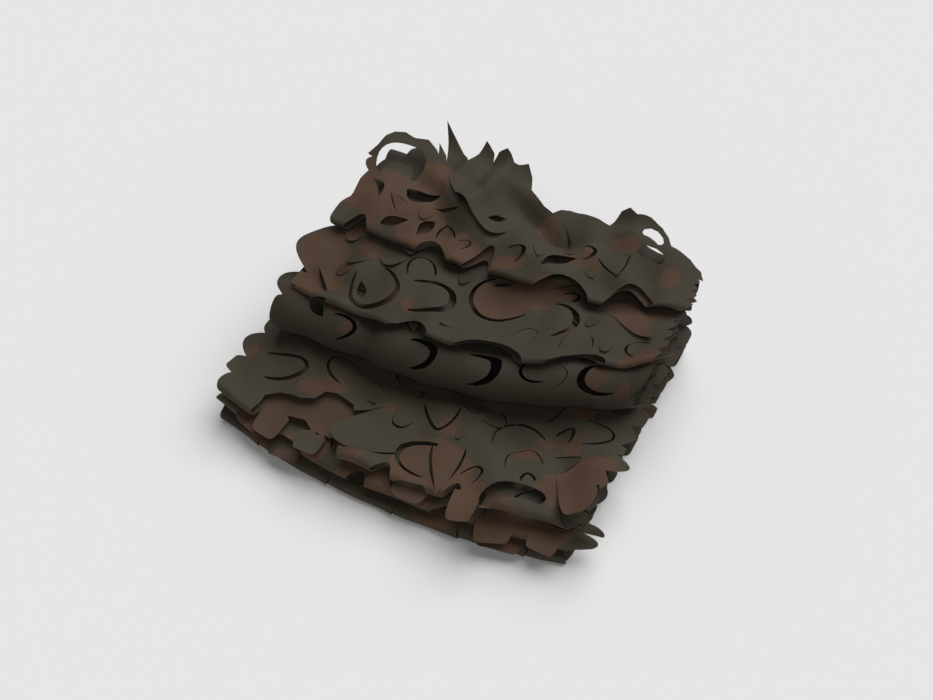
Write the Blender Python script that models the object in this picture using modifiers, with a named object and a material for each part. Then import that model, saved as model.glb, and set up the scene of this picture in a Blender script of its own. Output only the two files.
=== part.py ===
"""A folded camouflage net: one leaf-cut cloth laid back and forth into a flat slab of layers, with
the rest of its length doubled over the rear half as a higher, looser pile that starts in a thick
rolled fold. Metres, +Z up, standing on z = 0.

The cloth is laid out flat first, as it is cut: x runs across the strip and s along its length.
The leaf cuts are made in that flat pattern, and the fold then carries every point to its place."""

import math
from collections import namedtuple

import bpy
import numpy as np
from mathutils import Vector
from mathutils.geometry import delaunay_2d_cdt

# ---- driving dimensions ---------------------------------------------------------------------
CLOTH_WIDTH = 0.384          # across the strip, before its edge lobes
CLOTH_THICKNESS = 0.0015
HALF_WIDTH = CLOTH_WIDTH / 2
CENTRE = (-0.0010, 0.0034, 0.0)  # the middle of the bundle's box in the folding plan below

# ---- the folds --------------------------------------------------------------------------------
# A fold line crosses the strip. Its four values are y at the left edge, at one third, at two
# thirds and at the right edge. The cloth starts at the back of the lowest layer and runs forward.
FoldLine = namedtuple("FoldLine", "left middle_left middle_right right")
FRONT_FOLDS = (
    FoldLine(-0.152, -0.173, -0.172, -0.150),
    FoldLine(-0.147, -0.168, -0.166, -0.145),
    FoldLine(-0.148, -0.164, -0.158, -0.134),
    FoldLine(-0.047, -0.047, -0.034, 0.030),
    FoldLine(-0.046, -0.045, -0.032, 0.034),
    FoldLine(0.036, 0.046, 0.056, 0.098),
)
BACK_FOLDS = (
    FoldLine(0.150, 0.152, 0.150, 0.146),
    FoldLine(0.143, 0.146, 0.148, 0.142),
    FoldLine(0.147, 0.149, 0.144, 0.140),
    FoldLine(0.140, 0.143, 0.145, 0.143),
    FoldLine(0.146, 0.150, 0.148, 0.140),
    FoldLine(0.140, 0.154, 0.148, 0.143),
    FoldLine(0.138, 0.159, 0.152, 0.146),
)
# Each layer's clear rise over the layer below, at its front fold, halfway and at its back fold, and
# where its side edges lie. The pile's layers rise further on the left than on the right.
Layer = namedtuple("Layer", "rise_front rise_middle rise_back left right")
LAYERS = (
    Layer(0.0000, 0.0000, 0.0000, -0.200, 0.184),
    Layer(0.0085, 0.0080, 0.0080, -0.196, 0.182),
    Layer(0.0065, 0.0060, 0.0060, -0.202, 0.180),
    Layer(0.0085, 0.0080, 0.0075, -0.198, 0.186),
    Layer(0.0065, 0.0060, 0.0065, -0.197, 0.184),
    Layer(0.0095, 0.0090, 0.0080, -0.200, 0.188),
    Layer(0.0050, 0.0050, 0.0060, -0.184, 0.180),
    Layer(0.0440, 0.0300, 0.0150, -0.178, 0.184),
    Layer(0.0035, 0.0080, 0.0140, -0.172, 0.178),
    Layer(0.0065, 0.0150, 0.0190, -0.168, 0.186),
    Layer(0.0040, 0.0070, 0.0120, -0.170, 0.184),
    Layer(0.0080, 0.0140, 0.0180, -0.172, 0.190),
)
SLAB_LAYERS = 6
PILE_LEAN = 0.20             # how much of the pile's rise at its back moves from right to left
BEND_FULLNESS = 1.10         # a fold's bulge over half the height it climbs
WAVE_LENGTHS = (0.17, 0.13)  # the layers' soft waves, across and along the strip
WAVE_SHARE = 0.22            # their height, as a share of the layer's clear rise
ROLL_WAVE_SHARE = 0.05
TAIL_LENGTH = 0.062          # the loose end past the top layer's back line, which turns up
TAIL_BEND_LENGTH = 0.026
TAIL_ANGLE = math.radians(52)

# ---- the cloth's edges ------------------------------------------------------------------------
EDGE_STEP = 0.018            # between outline points
LOBE_PITCH = 0.058           # cut leaves along the side edges
LOBE_REACH = 0.010
LOBE_VARIATION = 0.006
LOBE_VARIATION_RATE = 37.0   # in radians per metre of edge
LOBE_PHASES = {-1: 0.4, 1: 1.3}  # by side
LOBE_ROUNDNESS = 0.6         # 1 is a plain arch, and less is fuller
LOBE_LEVEL = 0.6             # the part of a lobe that lies inside the strip's straight edge
# A longer leaf of a side edge: its layer, -1 for the left edge or 1 for the right one, its place in
# plan, half its root and how far it stands out.
EdgeLeaf = namedtuple("EdgeLeaf", "layer side y half_root reach")
EDGE_LEAF_STATIONS = (-0.90, -0.45, 0.0, 0.45, 0.90)  # its outline points, in half roots
EDGE_LEAVES = (
    EdgeLeaf(3, 1, -0.137, 0.012, 0.018),
    EdgeLeaf(5, 1, -0.130, 0.013, 0.022),
    EdgeLeaf(5, 1, -0.068, 0.013, 0.014),
    EdgeLeaf(5, -1, -0.092, 0.018, 0.012),
    EdgeLeaf(7, 1, 0.030, 0.018, 0.014),
    EdgeLeaf(7, -1, -0.050, 0.020, 0.014),
    EdgeLeaf(9, -1, 0.012, 0.034, 0.028),
)
START_REACH = 0.005          # the ragged end under the bundle
START_STEPS = 18
# A leaf of the loose top end: the ends of its root, how far its tip leans sideways, its reach past
# the top layer's back line, and its tip: 1 for a point, 2 for a round end and 5 for a square one.
EndLeaf = namedtuple("EndLeaf", "left right lean reach tip")
END_LEAVES = (
    EndLeaf(-0.184, -0.137, 0.000, 0.008, 2.5),
    EndLeaf(-0.136, -0.122, -0.004, 0.015, 1.0),
    EndLeaf(-0.116, -0.089, -0.027, 0.042, 1.0),
    EndLeaf(-0.086, -0.048, -0.005, 0.030, 4.0),
    EndLeaf(-0.047, -0.012, 0.001, 0.024, 2.5),
    EndLeaf(0.010, 0.060, 0.000, 0.007, 2.0),
    EndLeaf(0.083, 0.148, -0.018, 0.027, 1.6),
    EndLeaf(0.152, 0.186, 0.004, 0.004, 2.0),
)
END_LEVEL = -0.005           # the plain end between the leaves
END_LEAF_STEPS = 6

# ---- the mesh ---------------------------------------------------------------------------------
CROSS_STEP = 0.054           # between points across the strip
RUN_STEP = 0.050             # between rows along a layer
BEND_SEGMENTS = 4
ROLL_SEGMENTS = 8
TAIL_SEGMENTS = 3
ROLL_LAYER = 6               # the layer that the thick roll leaves from, counted from 0
COVERING_FOLD = {5: 7, 7: 9, 9: 11}  # layers that show in front of a later one's front fold
LEAST_STEP = 0.003           # between two points of an outline
SNAP = 0.0015                # a cut's point this near a crease lies on it
CREASE_ROOM = 0.004          # between a crease's inner points and a cut
RUN_ROOM = 0.010             # the same in the other rows
PAST_EDGE = 1.1              # the loose end's creases run past its edges, in half widths
TANGENT_STEP = 0.0002
LEAST_CURVATURE = 1e-6       # of a leaf that lies flat
SLACK = 0.0002               # how far past its hinge line a leaf starts to lift
LEAF_SEARCH = 1.5            # where a leaf's points are looked for, in leaf sizes
COVER_GROWTH = 1.004         # takes in the points on a leaf's own edge
SHOWN_ARC_STEPS = 6          # along a cut that shows
HIDDEN_ARC_STEPS = 4         # along the others

# ---- leaf cuts --------------------------------------------------------------------------------
# A cut frees a leaf on three sides. It is placed by its hinge's middle on a layer, at x and y.
# Heading is the way the leaf points in plan, in degrees: 0 is right and 90 is back. Lean moves its
# tip sideways, gap is the open width at the tip, and lift is the angle in degrees it turns by.
# Tip is 1 for a point, 2 for a round end and 5 for a square one.
# A stiff leaf stands straight off its hinge, and the others follow the layer's own shape.
LEAF_FULLNESS = 0.35             # how much wider than its hinge a leaf is halfway
Cut = namedtuple("Cut", "layer x y heading length width lean tip gap lift stiff")
SLAB_CUTS = (
    Cut(5, -0.164, -0.102, 18, 0.034, 0.032, 0.000, 2.0, 0.005, 12, 0),
    Cut(5, -0.080, -0.084, 185, 0.032, 0.034, 0.000, 2.0, 0.005, 15, 0),
    Cut(5, -0.158, -0.113, -62, 0.040, 0.044, 0.004, 1.3, 0.009, -7, 0),
    Cut(5, -0.092, -0.112, -100, 0.040, 0.052, 0.000, 1.4, 0.010, -7, 0),
    Cut(5, -0.033, -0.126, -70, 0.044, 0.050, 0.006, 1.3, 0.008, 10, 1),
    Cut(5, 0.034, -0.132, 185, 0.034, 0.034, 0.000, 2.0, 0.007, 16, 0),
    Cut(5, 0.050, -0.112, -64, 0.044, 0.032, 0.000, 1.1, 0.008, 10, 0),
    Cut(5, 0.090, -0.084, 115, 0.032, 0.042, 0.000, 2.0, 0.005, 16, 0),
    Cut(5, 0.132, -0.124, 116, 0.040, 0.050, 0.000, 2.2, 0.010, -6, 0),
    Cut(5, 0.172, -0.100, 104, 0.042, 0.032, 0.000, 2.0, 0.006, 18, 0),
    Cut(5, 0.012, -0.072, -80, 0.032, 0.036, 0.000, 2.0, 0.005, 10, 0),
    Cut(5, 0.140, -0.036, 10, 0.034, 0.034, 0.000, 2.0, 0.005, 10, 0),
)
ROLL_CUTS = (
    Cut(7, -0.106, -0.068, 14, 0.034, 0.036, 0.000, 1.5, 0.009, 22, 0),
    Cut(7, -0.052, -0.066, 4, 0.036, 0.036, 0.000, 1.6, 0.011, 16, 0),
    Cut(7, 0.014, -0.064, 8, 0.038, 0.038, 0.000, 2.0, 0.011, 20, 0),
    Cut(7, 0.104, -0.046, 186, 0.042, 0.038, 0.000, 2.0, 0.009, 20, 0),
    Cut(7, 0.172, -0.002, 204, 0.044, 0.042, 0.000, 2.0, 0.012, 26, 0),
)
PILE_CUTS = (
    Cut(9, -0.150, 0.016, -64, 0.054, 0.050, 0.006, 1.2, 0.008, 22, 1),
    Cut(9, -0.092, 0.014, -112, 0.050, 0.044, 0.000, 2.0, 0.011, 30, 0),
    Cut(9, -0.052, -0.010, 0, 0.042, 0.040, 0.000, 2.0, 0.009, 24, 0),
    Cut(9, 0.018, 0.036, -68, 0.050, 0.050, 0.000, 2.0, 0.007, 24, 0),
    Cut(9, 0.082, 0.004, 60, 0.036, 0.036, 0.000, 2.0, 0.010, 14, 0),
    Cut(9, 0.142, 0.062, -62, 0.048, 0.036, 0.000, 1.3, 0.008, 24, 1),
)
TOP_CUTS = (
    Cut(11, -0.156, 0.098, -8, 0.028, 0.032, 0.000, 2.0, 0.006, 16, 0),
    Cut(11, -0.094, 0.076, 78, 0.034, 0.034, 0.000, 1.3, 0.007, 10, 0),
    Cut(11, -0.128, 0.078, -118, 0.030, 0.032, 0.000, 2.0, 0.008, -5, 0),
    Cut(11, -0.050, 0.074, -80, 0.034, 0.036, 0.000, 1.5, 0.007, 12, 0),
    Cut(11, 0.014, 0.102, -66, 0.055, 0.054, 0.000, 1.2, 0.009, 26, 1),
    Cut(11, 0.088, 0.118, -60, 0.052, 0.046, 0.000, 1.2, 0.009, 24, 1),
    Cut(11, 0.128, 0.116, 84, 0.034, 0.026, 0.000, 2.0, 0.009, 14, 1),
    Cut(11, -0.110, 0.136, 168, 0.036, 0.026, 0.000, 2.0, 0.008, 14, 1),
    Cut(11, -0.036, 0.128, 150, 0.034, 0.036, 0.000, 2.0, 0.006, 12, 0),
)
SHOWN_CUTS = SLAB_CUTS + ROLL_CUTS + PILE_CUTS + TOP_CUTS
# The repeat on the layers that lie inside the bundle.
PATTERN_PITCH_ACROSS = 0.080
PATTERN_PITCH_ALONG = 0.074
PATTERN_LEAF_LENGTH = 0.034
PATTERN_LEAF_WIDTH = 0.036
PATTERN_GAP = 0.0075
PATTERN_MARGIN = 0.030           # from the edges and folds
PATTERN_FIRST_COLUMN = 0.25      # in columns, and every second row is half a column on
PATTERN_SCATTER_ACROSS = 0.005
PATTERN_SCATTER_ALONG = 0.004
PATTERN_TURN = 40                # in degrees, either way
PATTERN_SIZES = (0.85, 1.1)      # smallest and largest, as shares of the leaf's size
# The square leaves that hang over the slab's front folds.
FRONT_LEAF_PITCH = 0.062
FRONT_LEAF_LENGTHS = (0, 0.017, 0, 0.023, 0, 0.026)  # by layer
FRONT_LEAF_WIDTH = 0.034
FRONT_LEAF_ROOT = 0.010          # behind the fold line
FRONT_LEAF_DROOP = (0, 0, 0, -9, 0, -15)   # in degrees, by layer
FRONT_LEAF_SHIFT = 0.1           # in leaf pitches, from one layer to the next
FRONT_LEAF_SCATTER = 0.006
FRONT_LEAF_TURN = 12
FRONT_LEAF_LEAN = 0.005
FRONT_LEAF_TIP = 4
FRONT_LEAF_GAP = 0.005
FRONT_LENGTH_SHARES = (0.85, 1.15)
FRONT_WIDTH_SHARES = (0.7, 1.1)
FRONT_DROOP_SHARES = (0.6, 1.2)
CUT_ROOM = 0.009                 # of cloth that is left between two cuts
LIFT_SHARE = 0.40                # of the clear rise that a leaf under another layer may take
LIFT_RISE_LIMIT = 0.015          # the most clear rise that counts
LIFT_REACH = 1.2                 # how far along the leaf the rise is read, in leaf lengths
SEED = 21


def fold_curve(line):
    """The cubic that runs through a fold line's four values."""
    stations = np.linspace(-HALF_WIDTH, HALF_WIDTH, 4)
    return np.polyfit(stations, line, 3)


FRONT_CURVES = [fold_curve(line) for line in FRONT_FOLDS]
BACK_CURVES = [fold_curve(line) for line in BACK_FOLDS]
_waves = np.random.default_rng(SEED)
WAVE_PHASES = _waves.uniform(0, 2 * math.pi, (len(LAYERS), 2))


def spread(layer, x):
    """Where a layer lays the pattern's x, between its own side edges."""
    edges = LAYERS[layer]
    return (edges.left + edges.right) / 2 + x * (edges.right - edges.left) / CLOTH_WIDTH


def front_line(layer, x):
    return np.polyval(FRONT_CURVES[layer // 2], x)


def back_line(layer, x):
    return np.polyval(BACK_CURVES[(layer + 1) // 2], x)


def clear_rise(index, x, y):
    """The open height between a layer and the one below it."""
    layer = LAYERS[index]
    front = front_line(index, x)
    u = np.clip((y - front) / (back_line(index, x) - front), 0, 1)
    rise = (layer.rise_front * (1 - u) * (1 - 2 * u)
            + 4 * layer.rise_middle * u * (1 - u)
            + layer.rise_back * u * (2 * u - 1))
    share = ROLL_WAVE_SHARE if index == ROLL_LAYER + 1 else WAVE_SHARE
    wave = (np.sin(2 * math.pi * x / WAVE_LENGTHS[0] + WAVE_PHASES[index, 0])
            * np.cos(2 * math.pi * y / WAVE_LENGTHS[1] + WAVE_PHASES[index, 1]))
    if index >= SLAB_LAYERS:
        rise = rise * (1 - PILE_LEAN * u * x / HALF_WIDTH)
    return rise * (1 + share * wave)


def layer_height(index, x, y):
    """Height of a layer's middle surface over x and y."""
    height = np.full(np.shape(x), CLOTH_THICKNESS / 2)
    for below in range(1, index + 1):
        height = height + CLOTH_THICKNESS + clear_rise(below, x, y)
    return height


# ---- the strip's sections ---------------------------------------------------------------------
Section = namedtuple("Section", "kind layer start length")


def lay_out_sections():
    """The runs and bends that follow each other along the strip."""
    sections = []
    start = 0.0
    stations = np.linspace(-HALF_WIDTH, HALF_WIDTH, 9)
    for layer in range(len(LAYERS)):
        length = float(np.mean(back_line(layer, stations) - front_line(layer, stations)))
        sections.append(Section("run", layer, start, length))
        start += length
        if layer + 1 < len(LAYERS):
            line = front_line(layer, stations) if layer % 2 == 0 else back_line(layer, stations)
            climb = layer_height(layer + 1, stations, line) - layer_height(layer, stations, line)
            length = float(np.mean(climb)) * math.pi / 2 * math.hypot(1, BEND_FULLNESS) / math.sqrt(2)
            sections.append(Section("bend", layer, start, length))
            start += length
    sections.append(Section("tail", len(LAYERS) - 1, start, TAIL_LENGTH))
    return sections


SECTIONS = lay_out_sections()
STARTS = np.array([section.start for section in SECTIONS])
CLOTH_END = SECTIONS[-1].start


def run_points(layer, x, share):
    """Points of a layer, with share 0 at its front fold and 1 at its back fold."""
    x = spread(layer, x)
    front = front_line(layer, x)
    y = front + share * (back_line(layer, x) - front)
    return np.stack((x, y, layer_height(layer, x, y)), axis=-1)


def bend_points(layer, x, share):
    """Points of the bend from a layer up to the next one."""
    at_front = layer % 2 == 0
    x = (1 - share) * spread(layer, x) + share * spread(layer + 1, x)
    y = front_line(layer, x) if at_front else back_line(layer, x)
    low = layer_height(layer, x, y)
    high = layer_height(layer + 1, x, y)
    angle = math.pi * (share - 0.5)
    bulge = (high - low) / 2 * BEND_FULLNESS * (-1 if at_front else 1)
    return np.stack((x, y + bulge * np.cos(angle),
                     (low + high) / 2 + (high - low) / 2 * np.sin(angle)), axis=-1)


def tail_points(layer, x, distance):
    """The loose end: it turns up past the top layer's back line and then runs straight."""
    base = run_points(layer, x, np.ones(np.shape(x)))
    curvature = TAIL_ANGLE / TAIL_BEND_LENGTH
    turned = np.clip(distance, 0, TAIL_BEND_LENGTH) * curvature
    straight = np.maximum(distance - TAIL_BEND_LENGTH, 0)
    back = np.sin(turned) / curvature + straight * math.cos(TAIL_ANGLE)
    up = (1 - np.cos(turned)) / curvature + straight * math.sin(TAIL_ANGLE)
    base[..., 1] += back
    base[..., 2] += up
    return base


def fold(x, s):
    """Carry points of the flat pattern to their places in the folded bundle."""
    x = np.asarray(x, float)
    s = np.asarray(s, float)
    places = np.zeros(x.shape + (3,))
    index = np.clip(np.searchsorted(STARTS, s, side="right") - 1, 0, len(SECTIONS) - 1)
    for number, section in enumerate(SECTIONS):
        here = index == number
        if not here.any():
            continue
        share = (s[here] - section.start) / section.length
        if section.kind == "run":
            forward = section.layer % 2 == 0
            places[here] = run_points(section.layer, x[here], 1 - share if forward else share)
        elif section.kind == "bend":
            places[here] = bend_points(section.layer, x[here], share)
        else:
            places[here] = tail_points(section.layer, x[here], s[here] - section.start)
    return places


# ---- leaf cuts in the flat pattern --------------------------------------------------------------
def pattern_place(layer, x, y):
    """The place along the strip of a layer's point, given in plan. Past a fold line the distance
    goes on round the bend."""
    run = SECTIONS[2 * layer]
    front, back = front_line(layer, x), back_line(layer, x)
    inside_y = min(max(y, front), back)
    share = (inside_y - front) / (back - front)
    past = y - inside_y
    if layer % 2 == 0:
        return run.start + (1 - share) * run.length - past
    return run.start + share * run.length + past


def surface_frame(x, s):
    """The fold's place and its two tangents, across and along the strip."""
    place = fold(x, s)
    across = (fold(x + TANGENT_STEP, s) - fold(x - TANGENT_STEP, s)) / (2 * TANGENT_STEP)
    along = (fold(x, s + TANGENT_STEP) - fold(x, s - TANGENT_STEP)) / (2 * TANGENT_STEP)
    return place, across, along


class Tongue:
    """A cut leaf with its own frame in the flat pattern: u along the hinge and w towards the tip."""

    def __init__(self, cut, steps, creases):
        self.cut = cut
        self.steps = steps
        self.side = 1 if cut.layer % 2 else -1
        middle = (LAYERS[cut.layer].left + LAYERS[cut.layer].right) / 2
        narrowing = spread(cut.layer, 1.0) - spread(cut.layer, 0.0)
        self.x = (cut.x - middle) / narrowing
        self.s = pattern_place(cut.layer, cut.x, cut.y)
        place, across, along = surface_frame(np.array([self.x]), np.array([self.s]))
        self.stretch = np.array((narrowing, np.linalg.norm(along[0])))
        self.across, self.along = across[0], along[0]
        heading = math.radians(cut.heading)
        self.tip = np.array((math.cos(heading), self.side * math.sin(heading)))
        self.hinge = np.array((-math.sin(heading), self.side * math.cos(heading)))
        turns = np.linspace(0, math.pi, steps + 1)
        self.leaf_outline = self.to_pattern(*self.edge(turns, 0.0))
        outer = self.to_pattern(*self.edge(turns, cut.gap))
        self.hole_outline = snapped(np.concatenate((self.leaf_outline, outer[-2:0:-1])), creases)
        self.leaf_outline = self.hole_outline[:steps + 1]

    def to_pattern(self, u, w):
        offset = np.multiply.outer(u, self.hinge) + np.multiply.outer(w, self.tip)
        return (self.x, self.s) + offset / self.stretch

    def to_local(self, points):
        offset = (points - (self.x, self.s)) * self.stretch
        return offset @ self.hinge, offset @ self.tip

    def edge(self, turn, gap):
        """The cut's line for turn 0 to pi, from one hinge end over the tip to the other."""
        width = self.cut.width / 2 * (1 + LEAF_FULLNESS * np.sin(turn) ** 2)
        u = -width * np.cos(turn) + self.cut.lean * np.sin(turn) ** 2
        w = self.cut.length * (1 - np.abs(np.cos(turn)) ** self.cut.tip)
        opening = gap * np.sin(turn)
        return u - opening * np.cos(turn), w + opening * np.sin(turn)

    def covers(self, points):
        w = self.to_local(points)[1]
        outline = self.leaf_outline
        middle = outline.mean(axis=0)
        grown = middle + (outline - middle) * COVER_GROWTH
        return inside(points, grown) & (w > SLACK)

    def lift(self, points):
        """Turn the leaf's points out of the cloth about its hinge."""
        u, w = self.to_local(points)
        curvature = math.radians(self.cut.lift) / self.cut.length or LEAST_CURVATURE
        along_leaf = np.sin(curvature * w) / curvature
        height = ((1 - np.cos(curvature * w)) / curvature)[..., None]
        if self.cut.stiff:
            root = self.to_pattern(u, 0 * w)
            share = self.tip / self.stretch
            pointing = self.across * share[0] + self.along * share[1]
            normal = np.cross(self.across, self.along)
            normal *= self.side / np.linalg.norm(normal)
            hinge = fold(root[..., 0], root[..., 1])
            return hinge + pointing * along_leaf[..., None] + normal * height
        lowered = self.to_pattern(u, along_leaf)
        place, across, along = surface_frame(lowered[..., 0], lowered[..., 1])
        normal = np.cross(across, along)
        normal *= self.side / np.linalg.norm(normal, axis=-1, keepdims=True)
        return place + normal * height


def snapped(points, creases):
    """The points, with those beside a crease moved onto it."""
    nearest = creases[np.abs(points[:, 1:] - creases).argmin(axis=1)]
    close = np.abs(points[:, 1] - nearest) < SNAP
    points[close, 1] = nearest[close]
    return points


def inside(points, outline):
    """Which points lie inside a closed outline, by counting crossings."""
    x, y = points[..., 0], points[..., 1]
    found = np.zeros(x.shape, bool)
    for (x0, y0), (x1, y1) in zip(outline, np.roll(outline, -1, axis=0)):
        crosses = (y0 > y) != (y1 > y)
        rise = y1 - y0 if y1 != y0 else 1e-12
        found ^= crosses & (x < (x1 - x0) * (y - y0) / rise + x0)
    return found


def pattern_cuts():
    """The repeat of leaf cuts over the layers, apart from where they show from above."""
    random = np.random.default_rng(SEED + 1)
    cuts = []
    for layer in range(len(LAYERS) - 1):
        first_row = PATTERN_MARGIN
        if layer in COVERING_FOLD:
            covering = front_line(COVERING_FOLD[layer], 0.0)
            first_row += covering - front_line(layer, 0.0)
        depth = back_line(layer, 0.0) - front_line(layer, 0.0) - first_row - PATTERN_MARGIN
        rows = max(1, round(depth / PATTERN_PITCH_ALONG))
        columns = round((CLOTH_WIDTH - 2 * PATTERN_MARGIN) / PATTERN_PITCH_ACROSS)
        for row in range(rows):
            for column in range(columns):
                across = (column + PATTERN_FIRST_COLUMN + ((row + layer) % 2) / 2) / columns - 0.5
                x = across * (CLOTH_WIDTH - 2 * PATTERN_MARGIN)
                x += random.uniform(-PATTERN_SCATTER_ACROSS, PATTERN_SCATTER_ACROSS)
                heading = 90 * (1 if (row + column) % 2 else -1)
                heading += random.uniform(-PATTERN_TURN, PATTERN_TURN)
                length = PATTERN_LEAF_LENGTH * random.uniform(*PATTERN_SIZES)
                width = PATTERN_LEAF_WIDTH * random.uniform(*PATTERN_SIZES)
                nearest = max(front_line(layer, x), back_line(layer, x) - 2 * PATTERN_MARGIN - depth)
                y = nearest + PATTERN_MARGIN + (row + 0.5) / rows * depth
                y += random.uniform(-PATTERN_SCATTER_ALONG, PATTERN_SCATTER_ALONG)
                x -= math.cos(math.radians(heading)) * length / 2
                y -= math.sin(math.radians(heading)) * length / 2
                cuts.append(Cut(layer, x, y, heading, length, width, 0.0, 2, PATTERN_GAP,
                                hidden_lift(layer, x, y, heading, length), 0))
    return cuts


def hidden_lift(layer, x, y, heading, length):
    """The angle in degrees that a leaf may lift by below the next layer."""
    if layer == 0:
        return 0.0
    along = np.linspace(0, LIFT_REACH * length, 4)
    heading = math.radians(heading)
    rise = clear_rise(layer + 1, x + along * math.cos(heading), y + along * math.sin(heading)).min()
    return math.degrees(2 * LIFT_SHARE * min(rise, LIFT_RISE_LIMIT) / length)


def front_leaves():
    """Square leaves along the slab's front folds, rooted on the upper layer of each."""
    random = np.random.default_rng(SEED + 2)
    cuts = []
    for layer in range(1, SLAB_LAYERS, 2):
        count = int(CLOTH_WIDTH / FRONT_LEAF_PITCH)
        for number in range(count):
            x = (number + 0.5 + FRONT_LEAF_SHIFT * (layer - 3)) / count * CLOTH_WIDTH - HALF_WIDTH
            x += random.uniform(-FRONT_LEAF_SCATTER, FRONT_LEAF_SCATTER)
            heading = -90 + random.uniform(-FRONT_LEAF_TURN, FRONT_LEAF_TURN)
            length = FRONT_LEAF_LENGTHS[layer] * random.uniform(*FRONT_LENGTH_SHARES)
            width = FRONT_LEAF_WIDTH * random.uniform(*FRONT_WIDTH_SHARES)
            droop = FRONT_LEAF_DROOP[layer] * random.uniform(*FRONT_DROOP_SHARES)
            lean = random.uniform(-FRONT_LEAF_LEAN, FRONT_LEAF_LEAN)
            cuts.append(Cut(layer, x, front_line(layer, x) + FRONT_LEAF_ROOT, heading, length, width,
                            lean, FRONT_LEAF_TIP, FRONT_LEAF_GAP, droop, 1))
    return cuts


def clear_of(cut, others):
    """Whether a cut keeps off the others on its layer."""
    def middle(one):
        heading = math.radians(one.heading)
        return Vector((one.x + math.cos(heading) * one.length / 2,
                       one.y + math.sin(heading) * one.length / 2))
    room = [(middle(cut) - middle(other)).length - (cut.length + other.length) / 2
            for other in others if other.layer == cut.layer]
    return min(room, default=1.0) > CUT_ROOM


# ---- the flat pattern's points --------------------------------------------------------------------
def edge_leaf_place(leaf):
    layer = LAYERS[leaf.layer]
    return pattern_place(leaf.layer, layer.left if leaf.side < 0 else layer.right, leaf.y)


def edge_reach(side, s):
    """How far the side edge's cut leaves stand out at a place along the strip."""
    phase = LOBE_PHASES[side]
    lobe = np.abs(np.sin(math.pi * s / LOBE_PITCH + phase)) ** LOBE_ROUNDNESS
    reach = LOBE_REACH + LOBE_VARIATION * np.sin(LOBE_VARIATION_RATE * s + 2 * phase)
    stand_out = (lobe - LOBE_LEVEL) * reach
    for leaf in EDGE_LEAVES:
        if leaf.side == side:
            u = (s - edge_leaf_place(leaf)) / leaf.half_root
            stand_out = np.maximum(stand_out, leaf.reach * (1 - u * u))
    return stand_out


def end_outline():
    """The loose top end from left to right, leaf by leaf."""
    points = []
    for leaf in END_LEAVES:
        for u in np.linspace(-1, 1, END_LEAF_STEPS + 1):
            rise = 1 - abs(u) ** leaf.tip
            x = (leaf.left + leaf.right) / 2 + u * (leaf.right - leaf.left) / 2 + leaf.lean * rise
            points.append((x, CLOTH_END + END_LEVEL + (leaf.reach - END_LEVEL) * rise))
    return points


def row_places():
    """The rows across the strip: (place along it, whether the cloth is creased there)."""
    rows = []
    for section in SECTIONS:
        if section.kind == "run":
            steps = max(1, round(section.length / RUN_STEP))
        elif section.kind == "bend":
            steps = ROLL_SEGMENTS if section.layer == ROLL_LAYER else BEND_SEGMENTS
        else:
            steps = TAIL_SEGMENTS
            rows += [(section.start + TAIL_BEND_LENGTH * k / steps, True) for k in range(steps + 1)]
            break
        for k in range(steps):
            creased = section.kind == "bend" or k == 0
            rows.append((section.start + section.length * k / steps, creased))
    return rows


def edge_places(rows):
    """Places along the strip for the side edges' points: every row, and steps between the rows."""
    marks = [place for place, creased in rows if place < CLOTH_END + END_LEVEL] + [CLOTH_END + END_LEVEL]
    places = []
    for low, high in zip(marks, marks[1:]):
        steps = max(1, math.ceil((high - low) / EDGE_STEP))
        places += [low + (high - low) * k / steps for k in range(steps)]
    places = np.array(places + [marks[-1]])
    for leaf in EDGE_LEAVES:
        middle = edge_leaf_place(leaf)
        for place in middle + leaf.half_root * np.array(EDGE_LEAF_STATIONS):
            if np.abs(places - place).min() > LEAST_STEP:
                places = np.sort(np.append(places, place))
    return places


def flat_outline(rows):
    """The strip's closed outline, with its side edges' point numbers by place."""
    places = edge_places(rows)
    left = [(-HALF_WIDTH - edge_reach(-1, s), s) for s in places]
    right = [(HALF_WIDTH + edge_reach(1, s), s) for s in places]
    across = np.linspace(left[0][0], right[0][0], START_STEPS)[1:-1]
    start = [(x, START_REACH * math.sin(x / START_REACH)) for x in across]
    points = start + right + end_outline()[::-1] + left[::-1]
    first_right = len(start)
    last_left = len(points) - 1
    sides = {}
    for number, s in enumerate(places):
        sides[round(float(s), 6)] = (last_left - number, first_right + number)
    return points, sides


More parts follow.
